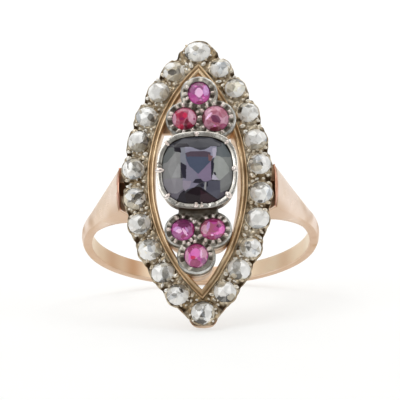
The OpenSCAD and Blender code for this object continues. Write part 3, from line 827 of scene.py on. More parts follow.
def make_trefoil(name, rows):
    count, rings = 420, 64
    mid, w, reach = trefoil_outline(rows, count)
    way = np.stack([np.cos(w), np.sin(w)], -1)
    loops, wear_and_shade = [], []
    for k in range(rings):
        t = (k + 0.4) / (rings - 1 + 0.4)
        p = level((reach * t)[:, None] * way, 0, *mid)
        h, z = trefoil_height(p, rows)
        p[:, 2] = h - 0.07 * smooth_step(t, 0.95, 1.0)
        loops.append(p)
        wear_and_shade.append(z)
    for n, grow, z in PLATE_EDGE:
        loops.append(level((reach + grow)[:, None] * way, n, *mid))
        wear_and_shade.append(np.full(count, z))
    for t in (0.8, 0.4):
        loops.append(level((reach * t)[:, None] * way, PLATE_BACK, *mid))
        wear_and_shade.append(np.full(count, 0.8))
    pts, faces = loft(loops, caps=(True, True))
    kinds = [1 if RIM_RING <= i // count < rings + 2 else 0 for i in range(len(faces))]
    build(name, pts, faces, [DARK_SILVER, PLATE_SILVER], ["silver_centre"],
          wear_and_shade=np.concatenate(wear_and_shade), sharp=50, face_materials=kinds)


def crowded(u, v, others):
    """whether the place is on or close to one of the other rubies"""
    return any(math.hypot((u - q[1]) / (q[3] + 0.10), (v - q[2]) / (q[4] + 0.10)) < 1 for q in others)


def make_trefoil_grains():
    rng = random.Random(8)
    parts = []
    for rows in TREFOIL_SETS.values():
        for r in rows:
            others = [q for q in rows if q is not r]
            for w in GRAIN_ANGLES[r[0]]:
                u = r[1] + (r[3] + GRAIN_OUT) * math.cos(w)
                v = r[2] + (r[4] + GRAIN_OUT) * math.sin(w)
                if on_plain_rim(r[0], w) or crowded(u, v, others):
                    continue
                size = GRAIN_SIZE * rng.uniform(0.7, 1.25)
                parts.append(bead((u, v, PLATE_TOP + rng.uniform(-0.02, 0.03)),
                                  (size * 1.3, size * rng.uniform(0.7, 1.0), size * 0.9),
                                  w + rng.uniform(-0.4, 0.4), rng.randrange(999), rng.uniform(0, 0.2)))
    pts, faces, wear_and_shade = merge(parts)
    build("trefoil_grains", pts, faces, [CLAW_METAL], ["silver_centre"], wear_and_shade=wear_and_shade, sharp=180)


# Collet and backs.
# outside the girdle, n, wear
COLLET_SECTION = [
    (-0.30, 11.50, 0.9), (0.10, 11.50, 0.9), (0.17, 11.60, 0.7), (0.22, 11.90, 0.45),
    (0.28, 12.30, 0.30), (0.34, 12.62, 0.30), (0.375, 12.84, 0.35), (0.40, 12.90, 0.05),
    (0.395, 12.96, 0.0), (0.33, 13.00, 0.0), (0.22, 13.00, 0.0), (0.13, 12.99, 0.1),
    (0.05, 12.98, 0.1), (0.01, 12.95, 0.4), (0.00, 12.84, 0.8), (-0.25, 12.40, 1.0),
    (-0.9, 11.80, 1.0), (-0.95, 11.50, 1.0),
]
# nicks in its edge: how many, and the width of each as an angle
NICKS, NICK_WIDTH = 9, 0.03


def make_collet():
    count = 360
    w = np.arange(count) * 2 * math.pi / count
    rng = random.Random(6)
    nicks = [rng.uniform(0, 2 * math.pi) for _ in range(NICKS)]
    notch = sum(np.exp(-(angle_off(w, nick) / NICK_WIDTH) ** 2) for nick in nicks)
    waves = 0.5 - 0.5 * np.cos(8 * w)
    # the wall is brown above and below the spinel, most of all below
    brown_side = smooth_step(np.abs(np.sin(w)), 0.70, 0.92) * (0.6 + 0.5 * (w > math.pi))
    loops, wear_and_shade = [], []
    for out, n, z in COLLET_SECTION:
        q = squircle(SPINEL_A + out, SPINEL_B + out, SPINEL_P, count)
        top = smooth_step(n, 12.85, 12.97) * (out < 0.25)
        height = n - 0.06 * top * notch - 0.03 * smooth_step(n, 12.8, 12.95) * waves
        p = level(q, height, SPINEL_U, SPINEL_V)
        p[:, :2] += 0.012 * wobble(p, 0.8, 51)[:, None]
        loops.append(p)
        brown = brown_side * smooth_step(-n, -12.99, -12.9)
        wear_and_shade.append(np.clip(z + brown + top * notch * 0.6 + 0.2 * wobble(p, 0.9, 52), 0, 1))
    pts, faces = loft(loops, wrap=True)
    build("spinel_collet", pts, faces, [SILVER], ["silver_centre"],
          wear_and_shade=np.concatenate(wear_and_shade), sharp=50)


# claws of the collet: direction in degrees, half length inwards, half width round the rim
CLAWS = [(0, 0.20, 0.30), (43, 0.17, 0.15), (90, 0.14, 0.22), (137, 0.20, 0.14), (180, 0.36, 0.22),
         (222, 0.26, 0.20), (267, 0.15, 0.22), (276, 0.12, 0.12), (318, 0.32, 0.26)]
# how far a claw's middle is outside the girdle, and how far its tip is inside its middle
CLAW_OUT, CLAW_TIP = 0.20, 0.20


def make_claws():
    rng = random.Random(12)
    parts = []
    for degrees, length, width in CLAWS:
        q = squircle(SPINEL_A + CLAW_OUT, SPINEL_B + CLAW_OUT, SPINEL_P, 1, math.radians(degrees))[0]
        w = math.atan2(q[1], q[0])
        c = (SPINEL_U + q[0], SPINEL_V + q[1], COLLET_TOP - 0.02)
        parts.append(bead(c, (length, width, 0.17), w, rng.randrange(999), 0.0, 0.12))
        tip = (c[0] - CLAW_TIP * math.cos(w), c[1] - CLAW_TIP * math.sin(w), COLLET_TOP + 0.04)
        parts.append(bead(tip, (length * 0.5, width * 0.6, 0.09), w, rng.randrange(999), 0.0, 0.12))
    pts, faces, wear_and_shade = merge(parts)
    build("collet_claws", pts, faces, [CLAW_METAL], ["silver_centre"], wear_and_shade=wear_and_shade, sharp=180)


# the open back of a ruby: outside its radius (0: the hole, 1: the wall's foot, 2: its top), n
BACK_HOLE, BACK_FOOT, BACK_TOP = -0.22, PLATE_RIM - 0.22, PLATE_RIM - 0.04
RUBY_BACK = [
    (0, 0, 9.88), (0, 0.05, CENTRE_BACK), (1, -0.06, CENTRE_BACK), (1, 0, 9.92), (1, 0.03, 10.3),
    (1, 0.06, 10.75), (1, 0.02, 10.80), (1, 0.07, 10.86), (2, 0, 11.44), (2, -0.03, 11.49), (0, 0, 11.49),
]
# the open back of the collet: outside the girdle, n
COLLET_BACK = [
    (-1.05, 9.88), (-1.0, CENTRE_BACK), (-0.76, CENTRE_BACK), (-0.70, 9.91), (-0.55, 10.4), (-0.33, 11.0),
    (-0.34, 11.06), (-0.22, 11.12), (-0.05, 11.46), (-0.3, 11.49), (-1.0, 11.49),
]
# a block's edges: how far they are inside its outline, and how far from its foot or its top
BLOCK_EDGE = [(0.06, 0.0), (0.015, 0.02), (0.0, 0.06)]
# webs from the collet's back to the trefoils: where they start and end, half width, top
WEB_START, WEB_END, WEB_W, WEB_TOP = 1.9, 4.1, 1.1, 11.48


def back_blocks():
    """middle, half width, ends up the head and height of the webs, and of the arms from the
    rubies at the sides to the inside of the base"""
    blocks = []
    for a, b in ((WEB_START, WEB_END), (-WEB_END, -WEB_START)):
        blocks.append((SPINEL_U, WEB_W, SPINEL_V + a, SPINEL_V + b, WEB_TOP - CENTRE_BACK))
    for _, u, v, _, _, _ in RUBIES[1:5]:
        length = ARM_END - abs(u) - ARM_START
        middle = u + math.copysign(ARM_START + length / 2, u)
        blocks.append((middle, length / 2, v - ARM_W / 2, v + ARM_W / 2, ARM_H))
    return blocks


def make_backs():
    parts = []
    for _, u, v, a, b, _ in RUBIES:
        radii = (min(a, b) + BACK_HOLE, max(a, b) + BACK_FOOT, max(a, b) + BACK_TOP)
        loops = [level(squircle(radii[k] + out, radii[k] + out, 2, 96), n, u, v) for k, out, n in RUBY_BACK]
        p, f = loft(loops, wrap=True)
        parts.append((p, f, 0.35 * smooth_step(wobble(p, 1.2, 61), 0.0, 0.9)))
    loops = [level(squircle(SPINEL_A + out, SPINEL_B + out, SPINEL_P, 200), n, SPINEL_U, SPINEL_V)
             for out, n in COLLET_BACK]
    p, f = loft(loops, wrap=True)
    parts.append((p, f, 0.3 * smooth_step(wobble(p, 1.2, 62), 0.0, 0.9)))
    for u, half, v0, v1, height in back_blocks():
        edge = [(inset, CENTRE_BACK + rise) for inset, rise in BLOCK_EDGE]
        edge += [(inset, CENTRE_BACK + height - rise) for inset, rise in BLOCK_EDGE[::-1]]
        loops = [level(squircle(half - inset, (v1 - v0) / 2 - inset, 8, 60), n, u, (v0 + v1) / 2)
                 for inset, n in edge]
        p, f = loft(loops, caps=(True, True))
        parts.append((p, f, 0.25))
    pts, faces, wear_and_shade = merge(parts)
    build("centre_backs", pts, faces, [BASE_GOLD], ["gold_mount"], wear_and_shade=wear_and_shade, sharp=40)


# Stones.
def split_facets(corners, facets, step, plain):
    """each facet as small triangles about as large as step, the plain ones as few as can be;
    gives the points, the triangles and which facet each triangle is of"""
    corners = np.array(corners, float)
    pts, faces, facet_of = [], [], []
    for which, (facet, whole) in enumerate(zip(facets, plain)):
        for k in range(1, len(facet) - 1):
            a, b, c = corners[facet[0]], corners[facet[k]], corners[facet[k + 1]]
            longest = max(np.linalg.norm(b - a), np.linalg.norm(c - b), np.linalg.norm(a - c))
            steps = 1 if whole else max(1, math.ceil(longest / step))
            row_start = []
            for i in range(steps + 1):
                row_start.append(len(pts))
                pts += [a + (b - a) * (i - j) / steps + (c - a) * j / steps for j in range(i + 1)]
            for i in range(steps):
                for j in range(i + 1):
                    p, q = row_start[i] + j, row_start[i + 1] + j
                    faces.append((p, q, q + 1))
                    if j < i:
                        faces.append((p, q + 1, p + 1))
            facet_of += [which] * (steps * steps)
    return np.array(pts), faces, facet_of


def glints(x, y, rng, count, reach, pick):
    """the painted reflections seen in a cut stone, as patches: each point takes the tone of the nearest of
    some scattered places; gives the tones and how far each point is from an edge between two patches"""
    places = [(rng.uniform(-reach, reach), rng.uniform(-reach, reach), rng.uniform(0, math.pi),
               rng.uniform(1.0, 2.2)) for _ in range(count)]
    tones = np.array([pick() for _ in places])
    away = []
    for px, py, w, long in places:
        along, across = turned(x - px, y - py, -w)
        away.append(np.hypot(along / long, across))
    nearest, second = np.sort(away, axis=0)[:2]
    return tones[np.argmin(away, axis=0)], second - nearest


# spots are rectangles with cut corners: 2 leaves the corners whole, 1 leaves a rhomb
CORNER_CUT = 1.3


def lay_spots(tones_and_glints, x, y, spots, cover):
    """the tones with spots laid over them, later ones on top: middle and half sizes in hundredths
    of the stone's half size, turn in degrees and tone; x and y are 1 at the stone's edge, as the
    stone is seen from the front"""
    for *measures, turn, tone in spots:
        mx, my, rx, ry = (m / 100 for m in measures)
        along, across = turned(x - mx, y - my, -math.radians(turn))
        along, across = np.abs(along) / rx, np.abs(across) / ry
        inside = np.maximum(np.maximum(along, across), (along + across) / CORNER_CUT) < 1
        tones_and_glints[inside] = tones_and_glints[inside] * (1 - cover) + np.array(tone[:3]) * cover
    return tones_and_glints


# heights of a rose cut's girdle and top, and points on the girdle
GIRDLE_TOP, ROSE_TOP, GIRDLE_POINTS = 0.14, 0.72, 12


def rose_cut(across, along, turn, rng):
    """old rose cut over a flat back: a small three-sided top, a ring of six points, twelve on
    the girdle, none quite even"""

    def place(k, w, z):
        x, y = turned(k * math.cos(w), k * math.sin(w), math.radians(turn))
        return np.array([x * across, y * along, z])

    lean = place(rng.uniform(0, 0.12), rng.uniform(0, 6.28), 0)
    pts = []
    for i in range(3):
        w = 120 * i
        pts.append(lean + place(rng.uniform(0.16, 0.34), math.radians(w + rng.uniform(-18, 18)), ROSE_TOP))
    for i in range(6):
        w = math.radians(60 * i + rng.uniform(-9, 9))
        pts.append(lean * 0.6 + place(rng.uniform(0.56, 0.72), w, GIRDLE_TOP + rng.uniform(0.36, 0.46)))
    for z in (GIRDLE_TOP, 0.0):
        for i in range(GIRDLE_POINTS):
            pts.append(place(rng.uniform(0.97, 1.0), 2 * math.pi * i / GIRDLE_POINTS, z))
    # where the points of the ring, the girdle's top and its foot start
    ring, girdle, foot = 3, 9, 9 + GIRDLE_POINTS
    faces = [(0, 1, 2)]
    for i in range(3):
        a, b = ring + 2 * i, ring + (2 * i + 5) % 6
        faces += [(i, b, a), (i, a, a + 1), (i, a + 1, (i + 1) % 3)]
    for i in range(6):
        a, b = ring + i, ring + (i + 1) % 6
        g, g2 = girdle + 2 * i, girdle + (2 * i + 2) % GIRDLE_POINTS
        faces += [(a, g, g + 1), (a, g + 1, b), (b, g + 1, g2)]
    for i in range(GIRDLE_POINTS):
        j = (i + 1) % GIRDLE_POINTS
        faces.append((girdle + i, foot + i, foot + j, girdle + j))
    faces.append(tuple(foot + i for i in range(GIRDLE_POINTS))[::-1])
    return np.array(pts), faces


# tones of the painted reflections in the diamonds
ICE, PEARL, MIST, STRAW, SMOKE, EARTH = (rgb(254, 254, 252), rgb(232, 230, 228), rgb(194, 199, 206),
                                         rgb(206, 196, 176), rgb(156, 152, 143), rgb(98, 88, 75))
# bright, plain and dull diamonds: how light the whole stone is painted, and the share of its painted
# patches up to which each tone goes
BRIGHT = 0.90, ((0.50, ICE), (0.74, PEARL), (0.86, MIST), (0.92, STRAW), (0.97, SMOKE), (1.0, EARTH))
PLAIN = 0.78, ((0.28, ICE), (0.50, PEARL), (0.68, MIST), (0.82, STRAW), (0.93, SMOKE), (1.0, EARTH))
DULL = 0.68, ((0.14, ICE), (0.34, PEARL), (0.54, MIST), (0.76, STRAW), (0.91, SMOKE), (1.0, EARTH))
DIAMOND_KINDS = {
    "diamond_tip_top": BRIGHT, "diamond_left_1": DULL, "diamond_left_4": DULL, "diamond_left_6": DULL,
    "diamond_left_10": DULL, "diamond_tip_bottom": DULL, "diamond_right_7": BRIGHT,
}
# size of the small triangles that carry the tones, and patches on a diamond
GLINT_STEP, GLINTS = 0.09, 9
# tone that stays as it is, and how much the others move away from it
DIAMOND_MIDDLE, DIAMOND_CONTRAST = 0.62, 0.85
DIAMOND_WARMTH = np.array([1.01, 1.0, 0.97])
# how far a raised point seems to be moved up the head
SEEN_UP = math.tan(BELOW_HEAD)
# the painted reflections seen in each diamond, light and dark spots, for lay_spots
DIAMOND_SPOTS = {
    "diamond_tip_top": [
        (0, -30, 75, 45, 0, ICE), (40, 40, 35, 60, -20, PEARL), (-15, 30, 25, 25, 0, STRAW),
        (-20, -20, 20, 12, 0, MIST)],
    "diamond_left_1": [
        (0, 0, 110, 110, 0, STRAW), (-40, 60, 50, 35, 0, PEARL), (-12, -10, 42, 30, 0, EARTH),
        (40, 0, 20, 30, 0, SMOKE), (80, 10, 20, 50, 0, PEARL), (-75, -20, 22, 40, 0, ICE)],
    "diamond_left_2": [
        (0, 0, 110, 110, 0, PEARL), (50, -20, 40, 50, 0, STRAW), (20, 40, 60, 10, 38, ICE),
        (-40, -30, 30, 40, 0, ICE), (0, -80, 50, 20, 0, STRAW)],
    "diamond_left_3": [
        (-15, 0, 30, 75, 0, ICE), (30, 65, 50, 25, 0, ICE), (40, -10, 30, 38, 0, SMOKE),
        (-75, 0, 25, 60, 0, MIST), (80, 20, 17, 50, 0, PEARL)],
    "diamond_left_4": [
        (0, 40, 70, 55, 0, ICE), (55, 35, 20, 45, 0, SMOKE), (-75, 10, 20, 70, 0, PEARL),
        (10, -60, 70, 40, 0, STRAW), (0, -5, 35, 12, 0, ICE)],
    "diamond_left_5": [
        (20, 10, 60, 60, 0, SMOKE), (-70, 35, 20, 35, 0, ICE), (-20, 30, 20, 35, 0, ICE),
        (-45, 35, 6, 35, 0, EARTH), (-20, -35, 40, 30, 0, PEARL), (30, -50, 25, 25, 0, ICE),
        (-90, -30, 15, 50, 0, ICE)],
    "diamond_left_6": [
        (0, 70, 60, 30, 0, MIST), (35, 30, 55, 25, 38, EARTH), (-50, 20, 25, 35, 30, ICE),
        (40, -30, 40, 20, 22, ICE), (-40, -60, 50, 30, 0, STRAW)],
    "diamond_left_7": [
        (-30, 40, 60, 50, 0, ICE), (15, 25, 28, 45, -15, SMOKE), (70, 20, 22, 60, 0, ICE),
        (-50, -35, 50, 30, 0, PEARL), (0, -60, 50, 17, 10, SMOKE)],
    "diamond_left_8": [
        (0, 65, 50, 35, 0, SMOKE), (-60, 0, 22, 50, 0, ICE), (0, 5, 35, 40, 0, MIST),
        (70, 10, 30, 50, 0, STRAW), (50, -50, 40, 25, 0, SMOKE), (-30, -70, 50, 20, 0, ICE)],
    "diamond_left_9": [
        (-45, 0, 50, 85, 0, ICE), (25, -5, 28, 70, -5, SMOKE), (75, 15, 24, 50, 15, ICE),
        (60, -65, 25, 20, 0, STRAW)],
    "diamond_left_10": [
        (-20, 45, 42, 28, 0, ICE), (32, 40, 12, 28, 40, EARTH), (70, 20, 15, 40, 40, PEARL),
        (-30, 5, 24, 14, 0, SMOKE), (10, 2, 16, 14, 0, ICE), (0, -60, 70, 35, 0, PEARL)],
    "diamond_tip_bottom": [
        (0, 80, 90, 25, 0, SMOKE), (-50, 10, 35, 60, 0, PEARL), (40, 0, 28, 75, 0, ICE),
        (-35, 45, 30, 30, 0, SMOKE), (-20, -75, 45, 20, 0, EARTH), (88, 0, 15, 60, 0, STRAW)],
    "diamond_right_1": [
        (10, 10, 50, 70, 0, MIST), (-55, 0, 42, 40, 0, ICE), (45, -30, 16, 50, -30, ICE),
        (10, 80, 70, 20, 0, STRAW)],
    "diamond_right_2": [
        (0, 0, 90, 70, 0, STRAW), (-88, 0, 14, 50, 0, ICE), (40, -20, 20, 30, 0, PEARL),
        (-10, 75, 60, 20, 0, SMOKE), (-10, -55, 60, 20, 0, PEARL), (60, 45, 25, 10, -30, ICE)],
    "diamond_right_3": [
        (20, 0, 80, 80, 0, PEARL), (-80, 30, 24, 45, 0, EARTH), (10, 60, 40, 15, 0, SMOKE),
        (-20, 30, 15, 20, 0, ICE), (-80, -35, 14, 30, 0, ICE), (50, -30, 40, 30, 0, ICE)],
    "diamond_right_4": [
        (0, 20, 90, 70, 0, PEARL), (30, -10, 35, 22, 0, ICE), (0, -70, 60, 25, 0, STRAW),
        (-30, 30, 30, 30, 0, ICE)],
    "diamond_right_5": [
        (-10, 60, 30, 30, 0, MIST), (-30, -30, 50, 40, 0, STRAW), (50, 10, 36, 55, 0, ICE),
        (20, 0, 8, 22, 20, EARTH), (-75, 25, 18, 16, 0, ICE)],
    "diamond_right_6": [
        (70, -10, 28, 60, 0, MIST), (-20, 65, 60, 36, 0, SMOKE), (5, -15, 42, 42, 0, ICE),
        (-42, 5, 14, 50, 15, ICE), (-10, -80, 25, 13, 0, EARTH)],
    "diamond_right_7": [
        (5, 5, 75, 62, 0, ICE), (40, 40, 30, 20, 0, PEARL), (-85, 0, 20, 50, 0, STRAW),
        (0, -80, 60, 18, 0, MIST)],
    "diamond_right_8": [
        (40, 30, 40, 42, 0, ICE), (-15, 20, 24, 45, 0, SMOKE), (-65, 10, 25, 50, 0, STRAW),
        (-20, -60, 36, 15, -40, ICE), (40, -40, 30, 25, 0, MIST)],
    "diamond_right_9": [
        (-20, 35, 34, 65, -15, SMOKE), (-75, 25, 18, 45, -15, ICE), (50, 0, 34, 78, -8, ICE),
        (5, -60, 20, 26, 0, SMOKE), (-50, -60, 30, 25, 0, STRAW)],
    "diamond_right_10": [
        (-40, 70, 50, 32, 0, STRAW), (-20, -10, 60, 34, 0, PEARL), (30, 35, 36, 50, 0, ICE),
        (60, -55, 42, 36, 0, STRAW)],
}
# how much the painted spots cover, the share of the facets' own painted tones, the least and the most
# light of a facet, and how dark the lines between the painted patches are
SPOT_COVER, FACET_SHARE, FACET_LIGHT, LINE_DARK = 0.78, 0.36, (0.78, 1.14), 0.14


def make_diamonds():
    rng = random.Random(21)
    for name, u, v, a, across, along, turn in DIAMONDS:
        corners, facets = rose_cut(across, along, turn, rng)
        pts, faces, facet_of = split_facets(corners, facets, GLINT_STEP, [len(f) > 3 for f in facets])
        lightness, levels = DIAMOND_KINDS.get(name, PLAIN)

        def pick():
            shade = rng.random()
            return next(tone for part, tone in levels if shade <= part)[:3]

        mid = pts[np.array(faces)].mean(axis=1)
        patches, edge = glints(mid[:, 0], mid[:, 1], rng, GLINTS, max(across, along), pick)
        facet_tones = np.array([pick() for _ in facets])[facet_of]
        tones_and_glints = patches * (1 - FACET_SHARE) + facet_tones * FACET_SHARE
        seen_x, seen_y = turned(mid[:, 0], mid[:, 1], a)
        seen_y = seen_y + SEEN_UP * (mid[:, 2] - GIRDLE_TOP)
        size = (across + along) / 2
        tones_and_glints = lay_spots(tones_and_glints, seen_x / size, seen_y / size, DIAMOND_SPOTS[name], SPOT_COVER)
        tones_and_glints = tones_and_glints * np.array([rng.uniform(*FACET_LIGHT) for _ in facets])[facet_of][:, None]
        light = tones_and_glints.mean(axis=1, keepdims=True)
        tones_and_glints = np.clip(tones_and_glints * (light / DIAMOND_MIDDLE) ** DIAMOND_CONTRAST, 0.015, 1.0)
        tones_and_glints = tones_and_glints * (1 - LINE_DARK * (1 - smooth_step(edge, 0.01, 0.05)))[:, None]
        # the second pass makes up for what the first one clips
        for _ in range(2):
            tones_and_glints = np.clip(tones_and_glints * lightness / tones_and_glints.mean(), 0, 1)
        x, y = turned(pts[:, 0], pts[:, 1], a)
        pts = np.stack([x + u, y + v, pts[:, 2] + DIAMOND_N + STONE_GAP], -1)
        build(f"{name}_cut", pts, faces, [DIAMOND], [name], sharp=0,
              tones_and_glints=tones_and_glints * DIAMOND_WARMTH)


# sides of the mixed cuts
CUT_SIDES = 8
# sizes of the table and of the ring round it, the ring's and the table's height over the girdle,
# the girdle's height and the depth of the back, and then how uneven the corners are
RUBY_CUT = (0.52, 0.78, 0.26, 0.40, 0.10, 0.40, 0.03)
SPINEL_CUT = (0.60, 0.82, 0.42, 0.62, 0.14, 2.0, 0.01)


def mixed_cut(a, b, p, turn, cut, rng):
    """table, star, kite and girdle facets over a pointed back; gives the corners, the facets and
    whether each facet stays plain"""
    table, middle, middle_h, table_h, girdle, deep, jitter = cut
    n = CUT_SIDES
    half = math.pi / n

    def ring(k, count, phase, z, wild):
        out = []
        for x, y in squircle(a * k, b * k, p, count, phase):
            x, y = x * (1 + rng.uniform(-wild, wild)), y * (1 + rng.uniform(-wild, wild))
            out.append((*turned(x, y, math.radians(turn)), z))
        return out

    pts = ring(table, n, half, girdle + table_h, jitter)
    pts += ring(middle, n, 2 * half, girdle + middle_h, jitter)
    pts += ring(1.0, 2 * n, half, girdle, 0)
    pts += ring(1.0, 2 * n, half, 0, 0)
    pts += [(0, 0, -deep)]
    # where the girdle's points, its foot's and the back's start
    top, foot, back = 2 * n, 4 * n, 6 * n
    faces, plain = [], []
    for i in range(n):
        j = (i + 1) % n
        c1, c2, c3 = top + 2 * i, top + 2 * i + 1, top + (2 * i + 2) % (2 * n)
        faces += [(i, n + i, j), (n + i, n + j, j), (n + i, c1, c2), (n + i, c2, c3), (n + i, c3, n + j)]
        plain += [False] * 5
    for i in range(2 * n):
        j = (i + 1) % (2 * n)
        faces += [(foot + i, foot + j, top + j, top + i), (foot + i, back, foot + j)]
        plain += [True] * 2
    faces.append(tuple(range(n)))
    return pts, faces, plain + [False]


# tones of the rubies, and of the painted highlights and reflections in them
PALE, WHITE_PINK, PINK, LILAC = rgb(205, 155, 176), rgb(255, 206, 242), rgb(228, 120, 194), rgb(206, 154, 208)
MAGENTA, MAUVE, DUST, PLUM = rgb(188, 74, 154), rgb(152, 88, 134), rgb(166, 94, 114), rgb(98, 38, 74)
WINE, RED, LIGHT_RED, DARK_RED = rgb(140, 30, 86), rgb(160, 34, 68), rgb(206, 42, 82), rgb(94, 12, 32)
# the two tones that each ruby's patches are between, and its spots, which are painted highlights and
# reflections over its colour, for lay_spots
RUBY_TONES = {
    "ruby_top": (MAGENTA, MAUVE), "ruby_upper_left": (RED, DUST), "ruby_upper_right": (DUST, PALE),
    "ruby_lower_left": (MAUVE, MAGENTA), "ruby_lower_right": (MAGENTA, DUST), "ruby_bottom": (PALE, MAGENTA),
}
RUBY_SPOTS = {
    "ruby_top": [
        (10, 86, 80, 20, 0, PLUM), (-85, 45, 20, 45, 0, PLUM), (85, 50, 20, 40, 0, PLUM),
        (-45, 27, 35, 35, 0, MAUVE), (62, 15, 27, 50, 0, LILAC), (0, 5, 36, 42, 0, WHITE_PINK),
        (-60, -55, 35, 35, 0, MAGENTA), (66, -50, 25, 30, 0, MAGENTA), (13, -82, 40, 15, 0, WINE),
        (13, -62, 14, 7, 0, PINK), (42, -42, 12, 10, 0, PINK), (-26, 60, 12, 8, 0, PINK)],
    "ruby_upper_left": [
        (-85, 0, 20, 60, 0, PALE), (0, 80, 60, 20, 0, DUST), (-25, 25, 40, 45, 0, RED),
        (5, 30, 20, 25, 0, LIGHT_RED), (20, -55, 22, 50, 0, DARK_RED), (50, -60, 30, 30, 45, RED),
        (-30, -72, 24, 24, 0, LIGHT_RED), (60, 10, 30, 66, 12, PALE), (78, -5, 10, 10, 0, WINE),
        (-20, 0, 20, 12, 0, WINE)],
    "ruby_upper_right": [
        (-92, 15, 16, 50, 0, DARK_RED), (-50, 45, 30, 35, 0, PALE), (-10, 60, 26, 24, 0, DUST),
        (-50, 20, 36, 8, 50, WHITE_PINK), (55, 40, 30, 36, 0, DUST), (-10, -68, 34, 20, 0, DUST),
        (45, -15, 60, 16, -42, PALE), (3, -2, 42, 26, -35, PLUM), (15, -82, 60, 20, 0, DARK_RED),
        (60, -60, 30, 20, 0, WINE), (-5, -56, 12, 7, 0, PINK)],
    "ruby_lower_left": [
        (0, 80, 90, 30, 0, PLUM), (15, 42, 55, 22, 0, PLUM), (-45, 5, 36, 25, 0, LILAC),
        (-30, -10, 24, 20, 0, WHITE_PINK), (60, -5, 30, 42, 0, MAUVE), (18, -20, 12, 38, 30, WHITE_PINK),
        (35, 0, 10, 28, 25, LILAC), (-40, -60, 35, 28, 0, MAUVE), (5, -64, 22, 24, 0, WINE),
        (28, -80, 25, 13, 0, MAGENTA), (90, 10, 12, 40, 0, WINE)],
    "ruby_lower_right": [
        (5, 85, 70, 20, 0, WINE), (-75, 40, 20, 20, 0, DUST), (-62, 0, 30, 42, 0, PALE),
        (-35, 30, 13, 42, -10, LILAC), (50, 30, 20, 18, 0, PLUM), (75, -10, 26, 32, 0, PINK),
        (45, -35, 36, 15, 10, PINK), (-25, -78, 48, 22, 0, WINE), (38, -72, 25, 20, 0, MAUVE),
        (-5, -52, 12, 8, 0, WHITE_PINK)],
    "ruby_bottom": [
        (0, 80, 50, 22, 0, WINE), (-50, 50, 20, 26, 0, WINE), (-5, 25, 40, 40, 0, PINK),
        (62, 15, 30, 45, 0, PALE), (42, 15, 8, 36, 0, WHITE_PINK), (-10, -60, 45, 38, 0, WINE),
        (-30, -12, 24, 15, 0, LIGHT_RED), (-78, -5, 16, 50, 0, PALE), (-56, -20, 10, 40, 0, PINK),
        (62, -45, 22, 30, 0, MAUVE)],
}
# how much the spots cover, patches on a ruby, and how light they are
RUBY_COVER, RUBY_GLINTS, RUBY_LIGHT = 0.85, 22, 1.38


def make_rubies():
    rng = random.Random(33)
    for name, u, v, a, b, turn in RUBIES:
        corners, facets, plain = mixed_cut(a, b, 2, turn, RUBY_CUT, rng)
        pts, faces, facet_of = split_facets(corners, facets, GLINT_STEP, plain)
        one, other = (np.array(tone[:3]) for tone in RUBY_TONES[name])

        def pick():
            return one + (other - one) * rng.random()

        mid = pts[np.array(faces)].mean(axis=1)
        tones_and_glints, _ = glints(mid[:, 0], mid[:, 1], rng, RUBY_GLINTS, max(a, b), pick)
        seen_y = (mid[:, 1] + SEEN_UP * (mid[:, 2] - RUBY_CUT[4])) / b
        tones_and_glints = lay_spots(tones_and_glints, mid[:, 0] / a, seen_y, RUBY_SPOTS[name], RUBY_COVER)
        shades = np.array([rng.uniform(0.85, 1.1) for _ in facets])[facet_of][:, None]
        pts = pts + np.array([u, v, RUBY_N + STONE_GAP])
        build(f"{name}_cut", pts, faces, [RUBY], [name], sharp=0, tones_and_glints=tones_and_glints * shades * RUBY_LIGHT)


